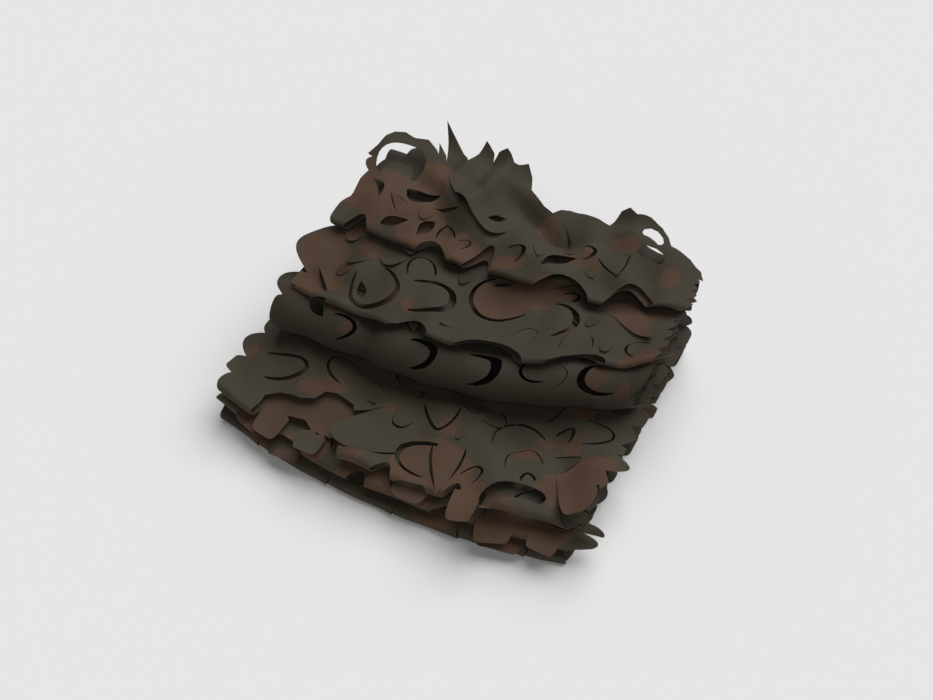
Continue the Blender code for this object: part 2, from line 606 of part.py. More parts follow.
def triangulate(tongues, rows, creases):
    """Points and triangles of the flat pattern, with the cuts open in it."""
    points, sides = flat_outline(rows)
    points = [tuple(point) for point in snapped(np.array(points), creases)]
    outline = np.array(points)
    edges = [(k, (k + 1) % len(points)) for k in range(len(points))]
    holes = [tongue.hole_outline for tongue in tongues]
    for hole in holes:
        first = len(points)
        points += [tuple(point) for point in hole]
        edges += [(first + k, first + (k + 1) % len(hole)) for k in range(len(hole))]
    rims = np.concatenate(holes)
    columns = np.arange(-HALF_WIDTH + CROSS_STEP, HALF_WIDTH - CROSS_STEP / 3, CROSS_STEP)
    for place, creased in rows:
        if place > CLOTH_END + END_LEVEL:
            points += [(-PAST_EDGE * HALF_WIDTH, place), (PAST_EDGE * HALF_WIDTH, place)]
            edges.append((len(points) - 2, len(points) - 1))
            continue
        line = []
        for x in columns:
            room = np.min(np.hypot(rims[:, 0] - x, rims[:, 1] - place))
            if room > (CREASE_ROOM if creased else RUN_ROOM):
                points.append((x, place))
                line.append(len(points) - 1)
        if creased and place > 0:
            left, right = sides[round(float(place), 6)]
            line = [left] + line + [right]
            edges += list(zip(line, line[1:]))
    found = delaunay_2d_cdt([Vector(point) for point in points], edges, [], 0, 1e-6)
    flat = np.array([tuple(point) for point in found[0]])
    triangles = np.array([tuple(face) for face in found[2]])
    centres = flat[triangles].mean(axis=1)
    kept = inside(centres, outline)
    for hole in holes:
        kept &= ~inside(centres, hole)
    return flat, triangles[kept]


def fold_cloth(flat, tongues):
    """The folded places of the pattern's points, with every cut leaf lifted."""
    places = fold(flat[:, 0], flat[:, 1])
    for tongue in tongues:
        reach = LEAF_SEARCH * max(tongue.cut.length, tongue.cut.width)
        near = np.abs(flat - (tongue.x, tongue.s)).max(axis=1) < reach / tongue.stretch.min()
        covered = np.flatnonzero(near)
        covered = covered[tongue.covers(flat[covered])]
        if len(covered):
            places[covered] = tongue.lift(flat[covered])
    return places - CENTRE


def net_material():
    material = bpy.data.materials.new("coated_net_cloth")
    material.use_nodes = True
    shader = material.node_tree.nodes["Principled BSDF"]
    shader.inputs["Base Color"].default_value = (0.050, 0.046, 0.032, 1)
    shader.inputs["Roughness"].default_value = 0.72
    shader.inputs["Metallic"].default_value = 0.0
    return material


def build_net(collection):
    cuts = list(SHOWN_CUTS)
    for cut in front_leaves() + pattern_cuts():
        if clear_of(cut, cuts):
            cuts.append(cut)
    rows = row_places()
    creases = np.array([place for place, creased in rows if creased])
    shown = len(SHOWN_CUTS)
    tongues = [Tongue(cut, SHOWN_ARC_STEPS if number < shown else HIDDEN_ARC_STEPS, creases)
               for number, cut in enumerate(cuts)]
    flat, triangles = triangulate(tongues, rows, creases)
    places = fold_cloth(flat, tongues)
    used = np.unique(triangles)
    number = np.full(len(flat), -1)
    number[used] = np.arange(len(used))
    mesh = bpy.data.meshes.new("net_cloth")
    mesh.from_pydata(places[used].tolist(), [], number[triangles].tolist())
    mesh.materials.append(net_material())
    net = bpy.data.objects.new("net_cloth", mesh)
    collection.objects.link(net)
    thickness = net.modifiers.new("cloth_thickness", "SOLIDIFY")
    thickness.thickness = CLOTH_THICKNESS
    thickness.offset = 0
    thickness.use_even_offset = True
    return net


def main():
    for thing in list(bpy.data.objects):
        bpy.data.objects.remove(thing)
    collection = bpy.data.collections.new("camouflage_net")
    bpy.context.scene.collection.children.link(collection)
    build_net(collection)


main()
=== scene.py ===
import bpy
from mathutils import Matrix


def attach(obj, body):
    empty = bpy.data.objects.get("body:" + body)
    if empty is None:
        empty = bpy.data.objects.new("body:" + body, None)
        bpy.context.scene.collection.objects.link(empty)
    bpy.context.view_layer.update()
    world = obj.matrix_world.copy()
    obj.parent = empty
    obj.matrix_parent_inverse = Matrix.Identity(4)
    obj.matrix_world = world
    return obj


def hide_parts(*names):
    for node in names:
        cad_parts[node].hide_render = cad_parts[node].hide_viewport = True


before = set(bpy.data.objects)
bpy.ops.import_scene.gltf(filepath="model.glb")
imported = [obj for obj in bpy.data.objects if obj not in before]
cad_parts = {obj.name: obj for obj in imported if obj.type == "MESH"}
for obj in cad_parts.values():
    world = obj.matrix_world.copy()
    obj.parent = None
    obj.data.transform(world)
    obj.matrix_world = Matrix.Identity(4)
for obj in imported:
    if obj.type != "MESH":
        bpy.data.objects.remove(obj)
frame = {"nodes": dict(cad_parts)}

"""The looks of the folded camouflage net: its one leaf-cut cloth as a thin sheet on the solid's
folds, with finer cuts, curled leaves, creases and the two-colour print.

The cloth is laid out flat first, as it is cut: x runs across the strip and s along its length.
Cuts and print are placed in that flat pattern, and the fold carries every point to its place."""

import math
from collections import namedtuple

import bpy
import numpy as np
from mathutils import Vector
from mathutils.geometry import delaunay_2d_cdt

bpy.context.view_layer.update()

# ---- the strip ----
CLOTH_WIDTH = 0.384
HALF_WIDTH = CLOTH_WIDTH / 2
SOLID_THICKNESS = 0.0015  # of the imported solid, whose layers this cloth lies in
CLOTH_THICKNESS = 0.0006
CENTRE = (-0.0010, 0.0034, 0.0)  # the middle of the bundle's box in the folding plan below
# The tables are in millimetres, apart from these columns: layers, sides, angles in degrees and ratios.
PLAIN_COLUMNS = "layer side back heading turn lift droop stiff tone tones tip tips full skew".split()


def in_metres(kind, *rows):
    """A table's rows, with its lengths in metres."""
    return tuple(kind(*(value if column in PLAIN_COLUMNS else np.divide(value, 1000)
                        for column, value in zip(kind._fields, row))) for row in rows)


# ---- the folds ----
# A fold line crosses the strip. Its four values are y at the left edge, at one third, at two
# thirds and at the right edge. The cloth starts at the back of the lowest layer and runs forward.
FoldLine = namedtuple("FoldLine", "left middle_left middle_right right")
FRONT_FOLDS = in_metres(FoldLine,
    (-152, -173, -172, -150),
    (-147, -168, -166, -145),
    (-148, -164, -158, -134),
    (-47, -47, -34, 30),
    (-46, -45, -32, 34),
    (36, 46, 56, 98),
)
BACK_FOLDS = in_metres(FoldLine,
    (150, 152, 150, 146),
    (143, 146, 148, 142),
    (147, 149, 144, 140),
    (140, 143, 145, 143),
    (146, 150, 148, 140),
    (140, 154, 148, 143),
    (138, 159, 152, 146),
)
# Each layer's clear rise over the layer below, at its front fold, halfway and at its back fold, and
# where its side edges lie. The pile's layers rise further on the left than on the right.
Layer = namedtuple("Layer", "rise_front rise_middle rise_back left right")
LAYERS = in_metres(Layer,
    (0, 0, 0, -200, 184),
    (8.5, 8, 8, -196, 182),
    (6.5, 6, 6, -202, 180),
    (8.5, 8, 7.5, -198, 186),
    (6.5, 6, 6.5, -197, 184),
    (9.5, 9, 8, -200, 188),
    (5, 5, 6, -184, 180),
    (44, 30, 15, -178, 184),
    (3.5, 8, 14, -172, 178),
    (6.5, 15, 19, -168, 186),
    (4, 7, 12, -170, 184),
    (8, 14, 18, -172, 190),
)
SLAB_LAYERS = 6
PILE_LEAN = 0.20  # how much of the pile's rise at its back moves from right to left
BEND_FULLNESS = 1.10  # a fold's bulge over half the height it climbs
WAVE_LENGTHS = (0.17, 0.13)  # the layers' soft waves, across and along the strip
WAVE_SHARE = 0.22  # their height, as a share of the layer's clear rise
ROLL_WAVE_SHARE = 0.05
ROLL_LAYER = 6  # the layer that the thick roll leaves from, counted from 0
COVERING_FOLD = {5: 7, 9: 11}  # layers that show in front of a later one's front fold
LINING_LAYERS = (4, 8, 10)  # layers that lie close below a shown one, in its own creases
TAIL_LENGTH = 0.062  # the loose end past the top layer's back line, which turns up
TAIL_BEND_LENGTH = 0.026
TAIL_ANGLE = math.radians(52)
LENGTH_STATIONS = 9  # across the strip, over which a section's length is averaged
SEED = 21


def fold_curve(line):
    """The cubic that runs through a fold line's four values."""
    stations = np.linspace(-HALF_WIDTH, HALF_WIDTH, 4)
    return np.polyfit(stations, line, 3)


FRONT_CURVES = [fold_curve(line) for line in FRONT_FOLDS]
BACK_CURVES = [fold_curve(line) for line in BACK_FOLDS]
_waves = np.random.default_rng(SEED)
WAVE_PHASES = _waves.uniform(0, 2 * math.pi, (len(LAYERS), 2))

CRUMPLE_HEIGHT = 0.0009  # of the small uneven waves in every layer but the lowest
CRUMPLE_LENGTHS = (0.052, 0.071, 0.043)
CRUMPLE_HEADINGS = _waves.uniform(0, math.pi, (len(LAYERS), 3))
CRUMPLE_PHASES = _waves.uniform(0, 2 * math.pi, (len(LAYERS), 3))
# A soft ridge pressed up into a layer, or a trough if its height is negative, between two places.
Crease = namedtuple("Crease", "layer x0 y0 x1 y1 height width")
CREASES = in_metres(Crease,
    (5, -190, -62, -60, -78, 2.4, 10),
    (5, -60, -60, 60, -52, -1.6, 12),
    (5, 60, -118, 150, -60, 1.8, 9),
    (5, -20, -140, 40, -80, -1.4, 8),
    (5, 150, -140, 180, -60, 3, 12),
    (9, -120, 0, -60, 30, 4, 14),
    (9, -150, -30, -110, -30, -6, 16),
    (9, -20, 10, 60, 40, -3, 14),
    (9, 60, 30, 150, 60, 4, 13),
    (9, 100, -10, 160, 10, -3, 10),
    (11, -100, 130, -20, 80, 5, 10),
    (11, -120, 120, -60, 80, -4, 10),
    (11, -10, 130, 60, 120, -6, 14),
    (11, 20, 80, 60, 70, 5, 14),
    (11, 80, 110, 130, 90, 5, 14),
    (11, -175, 142, -135, 148, 9, 22),
    (11, -82, 118, -78, 165, 4.5, 6),
    (11, -62, 112, -56, 165, -4.5, 6),
    (11, -44, 118, -36, 165, 4.5, 7),
    (11, -16, 140, 50, 112, -10, 11),
    (7, -150, -60, -50, -66, -4, 10),
    (10, -150, 95, 150, 98, 5.8, 30),
    (4, -150, -100, 150, -85, 3.6, 34),
    (8, -140, 0, 130, 25, 5, 28),
    (7, -176, -50, -140, -30, 6, 10),
    (7, -86, -70, -70, -20, -6, 10),
    (11, 120, 147, 150, 140, 8, 20),
)


def spread(layer, x):
    """Where a layer lays the pattern's x, between its own side edges."""
    edges = LAYERS[layer]
    return (edges.left + edges.right) / 2 + x * (edges.right - edges.left) / CLOTH_WIDTH


def narrowing(layer):
    """How much narrower than the flat strip a layer lies."""
    return spread(layer, 1.0) - spread(layer, 0.0)


def flat_x(layer, x):
    """The flat pattern's x of a place on a layer."""
    return (x - (LAYERS[layer].left + LAYERS[layer].right) / 2) / narrowing(layer)


def front_line(layer, x):
    return np.polyval(FRONT_CURVES[layer // 2], x)


def back_line(layer, x):
    return np.polyval(BACK_CURVES[(layer + 1) // 2], x)


def crease_height(index, x, y):
    """The height of a layer's listed ridges and troughs."""
    height = np.zeros(np.shape(x))
    leading = index + 1 if index in LINING_LAYERS else index
    if index:
        for length, heading, phase in zip(CRUMPLE_LENGTHS, CRUMPLE_HEADINGS[leading],
                                          CRUMPLE_PHASES[leading]):
            along = x * math.cos(heading) + y * math.sin(heading)
            height += CRUMPLE_HEIGHT * np.sin(2 * math.pi * along / length + phase)
    for crease in CREASES:
        if crease.layer in (index, leading):
            run = np.array((crease.x1 - crease.x0, crease.y1 - crease.y0))
            length = np.hypot(*run)
            along = ((x - crease.x0) * run[0] + (y - crease.y0) * run[1]) / length
            aside = ((y - crease.y0) * run[0] - (x - crease.x0) * run[1]) / length
            past = np.maximum(np.maximum(-along, along - length), 0)
            height += crease.height * np.exp(-(aside ** 2 + past ** 2) / crease.width ** 2)
    return height


def clear_rise(index, x, y):
    """The open height between a layer and the one below it."""
    layer = LAYERS[index]
    front = front_line(index, x)
    u = np.clip((y - front) / (back_line(index, x) - front), 0, 1)
    rise = (layer.rise_front * (1 - u) * (1 - 2 * u)
            + 4 * layer.rise_middle * u * (1 - u)
            + layer.rise_back * u * (2 * u - 1))
    share = ROLL_WAVE_SHARE if index == ROLL_LAYER + 1 else WAVE_SHARE
    wave = (np.sin(2 * math.pi * x / WAVE_LENGTHS[0] + WAVE_PHASES[index, 0])
            * np.cos(2 * math.pi * y / WAVE_LENGTHS[1] + WAVE_PHASES[index, 1]))
    if index >= SLAB_LAYERS:
        rise = rise * (1 - PILE_LEAN * u * x / HALF_WIDTH)
    return rise * (1 + share * wave)


def layer_height(index, x, y):
    """Height of a layer's middle surface over x and y."""
    height = np.full(np.shape(x), SOLID_THICKNESS / 2)
    for below in range(1, index + 1):
        height = height + SOLID_THICKNESS + clear_rise(below, x, y)
    return height + crease_height(index, x, y)


# ---- the strip's sections ----
Section = namedtuple("Section", "kind layer start length")


def lay_out_sections():
    """The runs and bends that follow each other along the strip."""
    sections = []
    start = 0.0
    stations = np.linspace(-HALF_WIDTH, HALF_WIDTH, LENGTH_STATIONS)
    for layer in range(len(LAYERS)):
        length = float(np.mean(back_line(layer, stations) - front_line(layer, stations)))
        sections.append(Section("run", layer, start, length))
        start += length
        if layer + 1 < len(LAYERS):
            line = front_line(layer, stations) if layer % 2 == 0 else back_line(layer, stations)
            climb = layer_height(layer + 1, stations, line) - layer_height(layer, stations, line)
            length = float(np.mean(climb)) * math.pi / 2 * math.hypot(1, BEND_FULLNESS) / math.sqrt(2)
            sections.append(Section("bend", layer, start, length))
            start += length
    sections.append(Section("tail", len(LAYERS) - 1, start, TAIL_LENGTH))
    return sections


SECTIONS = lay_out_sections()
STARTS = np.array([section.start for section in SECTIONS])
CLOTH_END = SECTIONS[-1].start


def run_points(layer, x, share):
    """Points of a layer, with share 0 at its front fold and 1 at its back fold."""
    x = spread(layer, x)
    front = front_line(layer, x)
    y = front + share * (back_line(layer, x) - front)
    return np.stack((x, y, layer_height(layer, x, y)), axis=-1)


def bend_points(layer, x, share):
    """Points of the bend from a layer up to the next one."""
    at_front = layer % 2 == 0
    x = (1 - share) * spread(layer, x) + share * spread(layer + 1, x)
    y = front_line(layer, x) if at_front else back_line(layer, x)
    low = layer_height(layer, x, y)
    high = layer_height(layer + 1, x, y)
    angle = math.pi * (share - 0.5)
    bulge = (high - low) / 2 * BEND_FULLNESS * (-1 if at_front else 1)
    return np.stack((x, y + bulge * np.cos(angle),
                     (low + high) / 2 + (high - low) / 2 * np.sin(angle)), axis=-1)


def tail_points(layer, x, distance):
    """The loose end: it turns up past the top layer's back line and then runs straight."""
    base = run_points(layer, x, np.ones(np.shape(x)))
    curvature = TAIL_ANGLE / TAIL_BEND_LENGTH
    turned = np.clip(distance, 0, TAIL_BEND_LENGTH) * curvature
    straight = np.maximum(distance - TAIL_BEND_LENGTH, 0)
    base[..., 1] += np.sin(turned) / curvature + straight * math.cos(TAIL_ANGLE)
    base[..., 2] += (1 - np.cos(turned)) / curvature + straight * math.sin(TAIL_ANGLE)
    return base


def section_index(s):
    """The number of the section that holds each place along the strip."""
    return np.clip(np.searchsorted(STARTS, s, side="right") - 1, 0, len(SECTIONS) - 1)


def fold(x, s):
    """Carry points of the flat pattern to their places in the folded bundle."""
    x = np.asarray(x, float)
    s = np.asarray(s, float)
    places = np.zeros(x.shape + (3,))
    index = section_index(s)
    for number in np.unique(index):
        here = index == number
        section = SECTIONS[number]
        share = (s[here] - section.start) / section.length
        if section.kind == "run":
            forward = section.layer % 2 == 0
            places[here] = run_points(section.layer, x[here], 1 - share if forward else share)
        elif section.kind == "bend":
            places[here] = bend_points(section.layer, x[here], share)
        else:
            places[here] = tail_points(section.layer, x[here], s[here] - section.start)
    return places


def pattern_place(layer, x, y):
    """The place along the strip of a layer's point, given in plan. Past a fold line the distance
    goes on round the bend."""
    run = SECTIONS[2 * layer]
    front, back = front_line(layer, x), back_line(layer, x)
    inside_y = min(max(y, front), back)
    share = (inside_y - front) / (back - front)
    past = y - inside_y
    if layer % 2 == 0:
        return run.start + (1 - share) * run.length - past
    return run.start + share * run.length + past


TANGENT_STEP = 0.0002


def surface_frame(x, s):
    """The fold's place and its two tangents, across and along the strip."""
    place = fold(x, s)
    across = (fold(x + TANGENT_STEP, s) - fold(x - TANGENT_STEP, s)) / (2 * TANGENT_STEP)
    along = (fold(x, s + TANGENT_STEP) - fold(x, s - TANGENT_STEP)) / (2 * TANGENT_STEP)
    return place, across, along


# ---- leaf cuts ----
# A cut frees a leaf on three sides. It is placed by its hinge's middle on a layer, at x and y.
# Heading is the way the leaf points in plan: 0 is right and 90 is back. Lean moves its tip sideways.
# Tip is 1 for a point, 2 for a round end and 5 for a square one, and full is how much wider than its
# hinge the leaf is halfway. Gap is the open width at the tip, or how far the leaf laps over the cloth
# around it if negative, and lift is the angle that it turns by. A stiff leaf stands straight off its
# hinge, and the others follow the layer's own shape. Tone is 1 for a brown leaf, -1 for a green one
# and 0 for the print around it.
Cut = namedtuple("Cut", "layer x y heading length width lean tip full gap lift stiff tone", defaults=(0, 0))
SHOWN_CUTS = in_metres(Cut,
    # on the slab
    (5, -170, -107, 28, 38, 26, 0, 2.2, 0.3, 8, 4),
    (5, -90, -78, 176, 20, 30, 0, 2.4, 0.1, 5.5, 4),
    (5, -45, -72, -95, 8, 30, 0, 2, 0, 1.5, 0),
    (5, -136, -190, 92, 26, 32, 0, 9, 0, 2, 4, 1, 1),
    (5, -88, -190, 84, 22, 28, 0, 9, 0, 2, -5, 1, -1),
    (5, -18, -118, -134, 52, 58, -10, 2.6, 0, 9, 5, 1, -1),
    (5, 34, -136, 176, 30, 36, 0, 2.2, 0.25, 8.5, 8, 1, 1),
    (5, 40, -114, -76, 50, 30, 0, 1, 0.35, 6, 5, 1, 1),
    (5, 80, -152, -84, 34, 26, 3, 9, 0, 3, 2, 1, 1),
    (5, 96, -78, 118, 20, 48, 6, 2, 0.1, 5, 6),
    (5, 113, -103, 122, 18, 34, 0, 4, 0, 4.2, 5),
    (5, 124, -150, 116, 8, 42, 0, 2.2, 0.2, 24, -4),
    (3, 108, -148, -78, 30, 36, 0, 10, 0, -3, -3, 1, 1),
    (3, 160, -136, -96, 30, 30, 4, 10, 0, -3, -5, 1, 1),
    (1, 118, -150, -84, 26, 44, 0, 10, 0, -1, -1, 1, 1),
    (5, 176, -128, -70, 30, 26, 0, 2, 0, -4, -6, 1, 1),
    (5, 160, -88, -66, 56, 36, 0, 7, 0.05, 3, 6, 1, 1),
    (5, 12, -74, -80, 26, 34, 4, 1.4, 0.2, 5, 6),
    (5, 146, -40, 10, 24, 30, 0, 2, 0.25, 5, 5),
    (5, 58, -62, -20, 16, 24, 0, 1.6, 0.2, 3, 4),
    # on the roll
    (7, -29, -64, 21, 18, 28, 0, 2.2, 0.1, 9.5, -4),
    (7, 29, -56, 20, 19, 30, 0, 3, 0.1, 12, -4),
    (7, 94, -24, 205, 16, 36, 0, 2, 0.1, 4.5, -4),
    (7, 108, -32, 8, 10, 26, 0, 2, 0.1, 2, 4),
    (7, 154, -3, 206, 18, 42, 0, 2, 0.2, 8.5, -4),
    (7, 172, -20, 100, 20, 14, 0, 1.8, 0.6, 1, 6, 0, 1),
    (7, -112, -66, 24, 18, 26, 0, 2, 0.1, 6, -4),
    # on the pile
    (9, -109, 4, -54, 43, 26, 0, 2.2, 2.4, 10.5, 2, 0, -1),
    (9, -56, -11, 19, 34, 34, 0, 3, 0.4, 11, 2, 0, -1),
    (9, -58, 16, 118, 26, 26, 0, 1.8, 0.5, 5.5, 2),
    (9, 34, 38, -137, 37, 56, 0, 2.4, 0.35, 8.5, 2, 0, 1),
    (9, 80, 24, 18, 17, 50, 0, 2, 0.1, 8, -3, 0, -1),
    (9, 46, 62, 28, 40, 14, 0, 1.2, 0.3, -2, 12, 0, 1),
    (9, 124, 86, -52, 76, 30, 0, 1.15, 0.6, -4, 6, 0, 1),
    (9, -100, 40, -70, 26, 36, 0, 2, 0.2, -3, 12),
    # on the top layer
    (11, -40, 122, -123, 22, 92, 0, 6, 0, -4, 20, 1, -1),
    (11, 106, 112, -60, 22, 30, 0, 1.1, 0.1, 3, 8),
    (11, -139, 112, 100, 14, 30, 0, 7, 0.1, 24, 24, 1, -1),
    (11, 132, 141, 80, 2, 16, 0, 2, 0.2, 11, 0),
    (11, 138, 122, 80, 2, 18, 0, 2, 0.2, 13, 0),
    (11, 30, 132, -30, 26, 30, 0, 1.2, 0.2, 4, 16, 1, 0),
)
# The repeats of cuts over the rest of the cloth: their size, how many pitches they are moved on by, and
# whether they also cut the cloth that is folded away.
REPEATS = ((1.0, 0.0, True), (0.62, 0.5, False), (0.5, 0.25, False))
PATTERN_PITCH = 0.048
PATTERN_LEAF_LENGTH = 0.030
PATTERN_LEAF_WIDTH = 0.033
PATTERN_GAPS = (0.0012, 0.0060)
FRONT_GAPS = (-0.008, 0.003)  # of the leaves that show and point forwards
BACK_GAPS = (0.0015, 0.006)  # and backwards
LOOSE_END_ROOM = 0.046  # kept clear in front of the top layer's back line
PATTERN_MARGIN = 0.022  # from the side edges
PATTERN_SCATTER = 0.008
PATTERN_TURN = 60  # in degrees, either way
PATTERN_SIZES = (0.65, 1.15)  # smallest and largest, as shares of the leaf's size
COLUMN_START = 0.25  # where every other row begins, in columns; the rest begin half a column on
PATTERN_TIPS = (0.9, 2.8)
PATTERN_FULL = (0.0, 0.4)
PATTERN_FOLD_ROOM = 0.020  # from the folds
SHOWN_LIFTS = (-4, 26)  # of the repeat's leaves that show, in degrees
SHOWN_LIFT_SHARES = (0.2, 1.0)
LAP_LIFT = 11  # the least angle of a leaf that laps over the cloth around it
PATTERN_TONES = (-1, 0, 0, 0, 0, 1)
SIDE_ROOM = 0.008  # between a cut and the strip's side edges
# The leaves along a fold: how far apart they are, their size, how far from the fold line they are
# rooted, and the ranges of their tips, gaps, droop and turn. Every other one is rooted on the layer at
# the fold's far side and sticks straight out of it.
FoldRow = namedtuple("FoldRow", "layer back pitch length width root tips gaps droop turn tones")
FOLD_ROWS = in_metres(FoldRow,
    (3, False, 44, 24, 38, 10, (8, 16), (0.8, 2), (-10, -2), 8, (-1, 0, 1)),
    (5, False, 42, 26, 36, 11, (6, 16), (0.8, 3), (-10, 2), 12, (-1, 0, 1)),
    (7, False, 60, 30, 36, 20, (1.2, 3), (2, 6), (-10, 4), 40, (-1, 0, 0)),
    (9, False, 52, 36, 42, 16, (1.4, 2), (-6, 2), (4, 14), 30, (-1, 0, 1)),
    (11, False, 50, 36, 40, 16, (1, 1.6), (-6, 1), (2, 16), 25, (-1, 0)),
    *((layer, True, 50, 32, 36, 13, (1.2, 5), (-4, 2), (-8, 12), 25, (-1, 0, 1))
      for layer in (1, 3, 5, 7, 9)),
)
FRONT_SCATTER = 0.004
FRONT_FULL = 0.05
FRONT_SIZES = (0.85, 1.15)
SHOWN_MARGIN = 0.020  # how far a layer is taken as shown under the next one's fold
CUT_ROOM = 0.0035  # of cloth that is left between two cuts
LIFT_SHARE = 0.12  # of the clear rise that a leaf under another layer may take
LIFT_RISE_LIMIT = 0.015
LIFT_SPAN = 1.2  # in leaf lengths from its hinge, over which that rise is looked up
LIFT_STATIONS = 4
LEAST_ARC_STEPS = 8
ARC_STEP = 0.0028  # between points along a cut
LEAST_CURVATURE = 1e-6  # of a leaf that lies flat
SLACK = 0.0002  # how far past its hinge line a leaf starts to lift
COVER_GROWTH = 1.004  # takes in the points on a leaf's own edge
LEAF_SEARCH = 1.8  # where a leaf's points are looked for, in leaf sizes
CUT_WIDTH = 0.0006  # the least open width of a cut
LEAF_CUP = 0.10  # how far a leaf's sides curl, as a share of its lift
LEAF_REACH = 0.11  # how much longer and wider a leaf gets towards its tip


class Place:
    """A spot of a layer with its own frame in the flat pattern: w along its heading, u to its left."""
    leaf_outline = None

    def __init__(self, layer, x, y, heading):
        self.side = 1 if layer % 2 else -1
        self.x = flat_x(layer, x)
        self.s = pattern_place(layer, x, y)
        frame = surface_frame(np.array([self.x]), np.array([self.s]))
        self.across, self.along = frame[1][0], frame[2][0]
        self.stretch = np.array((narrowing(layer), np.linalg.norm(self.along)))
        heading = math.radians(heading)
        self.ahead = np.array((math.cos(heading), self.side * math.sin(heading)))
        self.aside = np.array((-math.sin(heading), self.side * math.cos(heading)))

    def to_pattern(self, u, w):
        offset = np.multiply.outer(u, self.aside) + np.multiply.outer(w, self.ahead)
        return (self.x, self.s) + offset / self.stretch

    def to_local(self, points):
        offset = (points - (self.x, self.s)) * self.stretch
        return offset @ self.aside, offset @ self.ahead

    def close_outline(self, first, second):
        """Keep the hole between two lines that share their ends."""
        self.hole_outline = np.concatenate((first, second[-2:0:-1]))
        self.low = self.hole_outline.min(axis=0)
        self.high = self.hole_outline.max(axis=0)

    def around(self, points):
        """The numbers of the points in the hole's own rectangle."""
        return np.flatnonzero(((points >= self.low) & (points <= self.high)).all(axis=1))

    def outward(self, x, s):
        """The fold's place and the unit normal of the cloth's upper side."""
        place, across, along = surface_frame(x, s)
        normal = np.cross(across, along)
        return place, self.side * normal / np.linalg.norm(normal, axis=-1, keepdims=True)


class Tongue(Place):
    """A leaf cut free on three sides. Its heading points to its tip."""

    def __init__(self, cut):
        super().__init__(cut.layer, cut.x, cut.y, cut.heading)
        self.cut = cut
        steps = max(LEAST_ARC_STEPS, round((2 * cut.length + cut.width) / ARC_STEP))
        turns = np.linspace(0, math.pi, steps + 1)
        self.leaf_outline = self.to_pattern(*self.edge(turns, 0.0))
        self.close_outline(self.leaf_outline, self.to_pattern(*self.edge(turns, max(cut.gap, CUT_WIDTH))))

    def edge(self, turn, gap):
        """The cut's line for turn 0 to pi, from one hinge end over the tip to the other."""
        width = self.cut.width / 2 * (1 + self.cut.full * np.sin(turn) ** 2)
        u = -width * np.cos(turn) + self.cut.lean * np.sin(turn) ** 2
        w = self.cut.length * (1 - np.abs(np.cos(turn)) ** self.cut.tip)
        opening = gap * np.sin(turn)
        return u - opening * np.cos(turn), w + opening * np.sin(turn)

    def covers(self, points):
        w = self.to_local(points)[1]
        middle = self.leaf_outline.mean(axis=0)
        grown = middle + (self.leaf_outline - middle) * COVER_GROWTH
        return inside(points, grown) & (w > SLACK)

    def lift(self, points):
        """Turn the leaf's points out of the cloth about its hinge."""
        u, w = self.to_local(points)
        reach = 1 + max(LEAF_REACH, -self.cut.gap / self.cut.length) * w / self.cut.length
        u, w = u * reach, w * reach
        curvature = math.radians(self.cut.lift) / self.cut.length or LEAST_CURVATURE
        along_leaf = np.sin(curvature * w) / curvature
        height = (1 - np.cos(curvature * w)) / curvature
        tip_height = (1 - math.cos(math.radians(self.cut.lift))) / curvature
        height += LEAF_CUP * tip_height * (2 * u / self.cut.width) ** 2 * w / self.cut.length
        height = height[..., None]
        if self.cut.stiff:
            root = self.to_pattern(u, 0 * w)
            share = self.ahead / self.stretch
            pointing = self.across * share[0] + self.along * share[1]
            normal = self.outward(np.array([self.x]), np.array([self.s]))[1]
            hinge = fold(root[..., 0], root[..., 1])
            return hinge + pointing * along_leaf[..., None] + normal * height
        lowered = self.to_pattern(u, along_leaf)
        place, normal = self.outward(lowered[..., 0], lowered[..., 1])
        return place + normal * height


# A slit lies between two pointed ends in plan. Its two sides bow by left and right, both measured to
# the left of the way from its first end to its second. Skew moves the bow towards the second end. The
# cloth on its right curls up by lip, and on its left it sinks.
Slot = namedtuple("Slot", "layer x0 y0 x1 y1 left right skew lip")
SLOTS = in_metres(Slot,
    (11, -157, 98, -137, 70, 8.5, 1.5, 0, -2),
    (11, -119, 100, -84, 108, 1, -14, -0.8, -3),
    (11, -86, 94, -58, 101, 2.5, -3, 0, 2),
    (11, -122, 48, -98, 64, 7.5, -4.5, -0.3, 2),
    (11, -84, 54, -76, 80, 6, -5.5, 0, 1),
    (11, -30, 104, -10, 111, 3.5, -3.5, 0, 2),
    (11, 47, 66, 74, 94, 8.5, -1, 0, -3),
    (9, -111, -11, -99, -28, 4, -5, 0, 0),
    (9, -158, -14, -136, -36, 0.6, -1.4, 0, -4.5),
    (7, -150, -46, -126, -60, 6, -6, 0, 0),
    (9, 10, 40, 28, 50, 4.5, -1, 0, 0),
    (9, -144, -62, -128, -46, 7, -7, 0, 0),
    (1, -144, -163, -140, -186, 0.6, -0.8, 0, 1),
    (1, -58, -172, -60, -196, 0.6, -0.6, 0, 1),
    (1, 14, -176, 12, -196, 0.6, -0.6, 0, 1),
    (1, 78, -168, 82, -192, 1, -0.6, 0, 1),
    (1, 146, -156, 142, -180, 0.6, -1, 0, 1),
)
SLOT_STEPS = 16
LIP_WIDTH = 0.007  # of the curled cloth beside a slit
SINK_SHARE = 0.5  # of the lip's height, on the side that sinks
BITE_ROUNDNESS = 0.8  # 1 for pointed arcs, and less for fuller ones


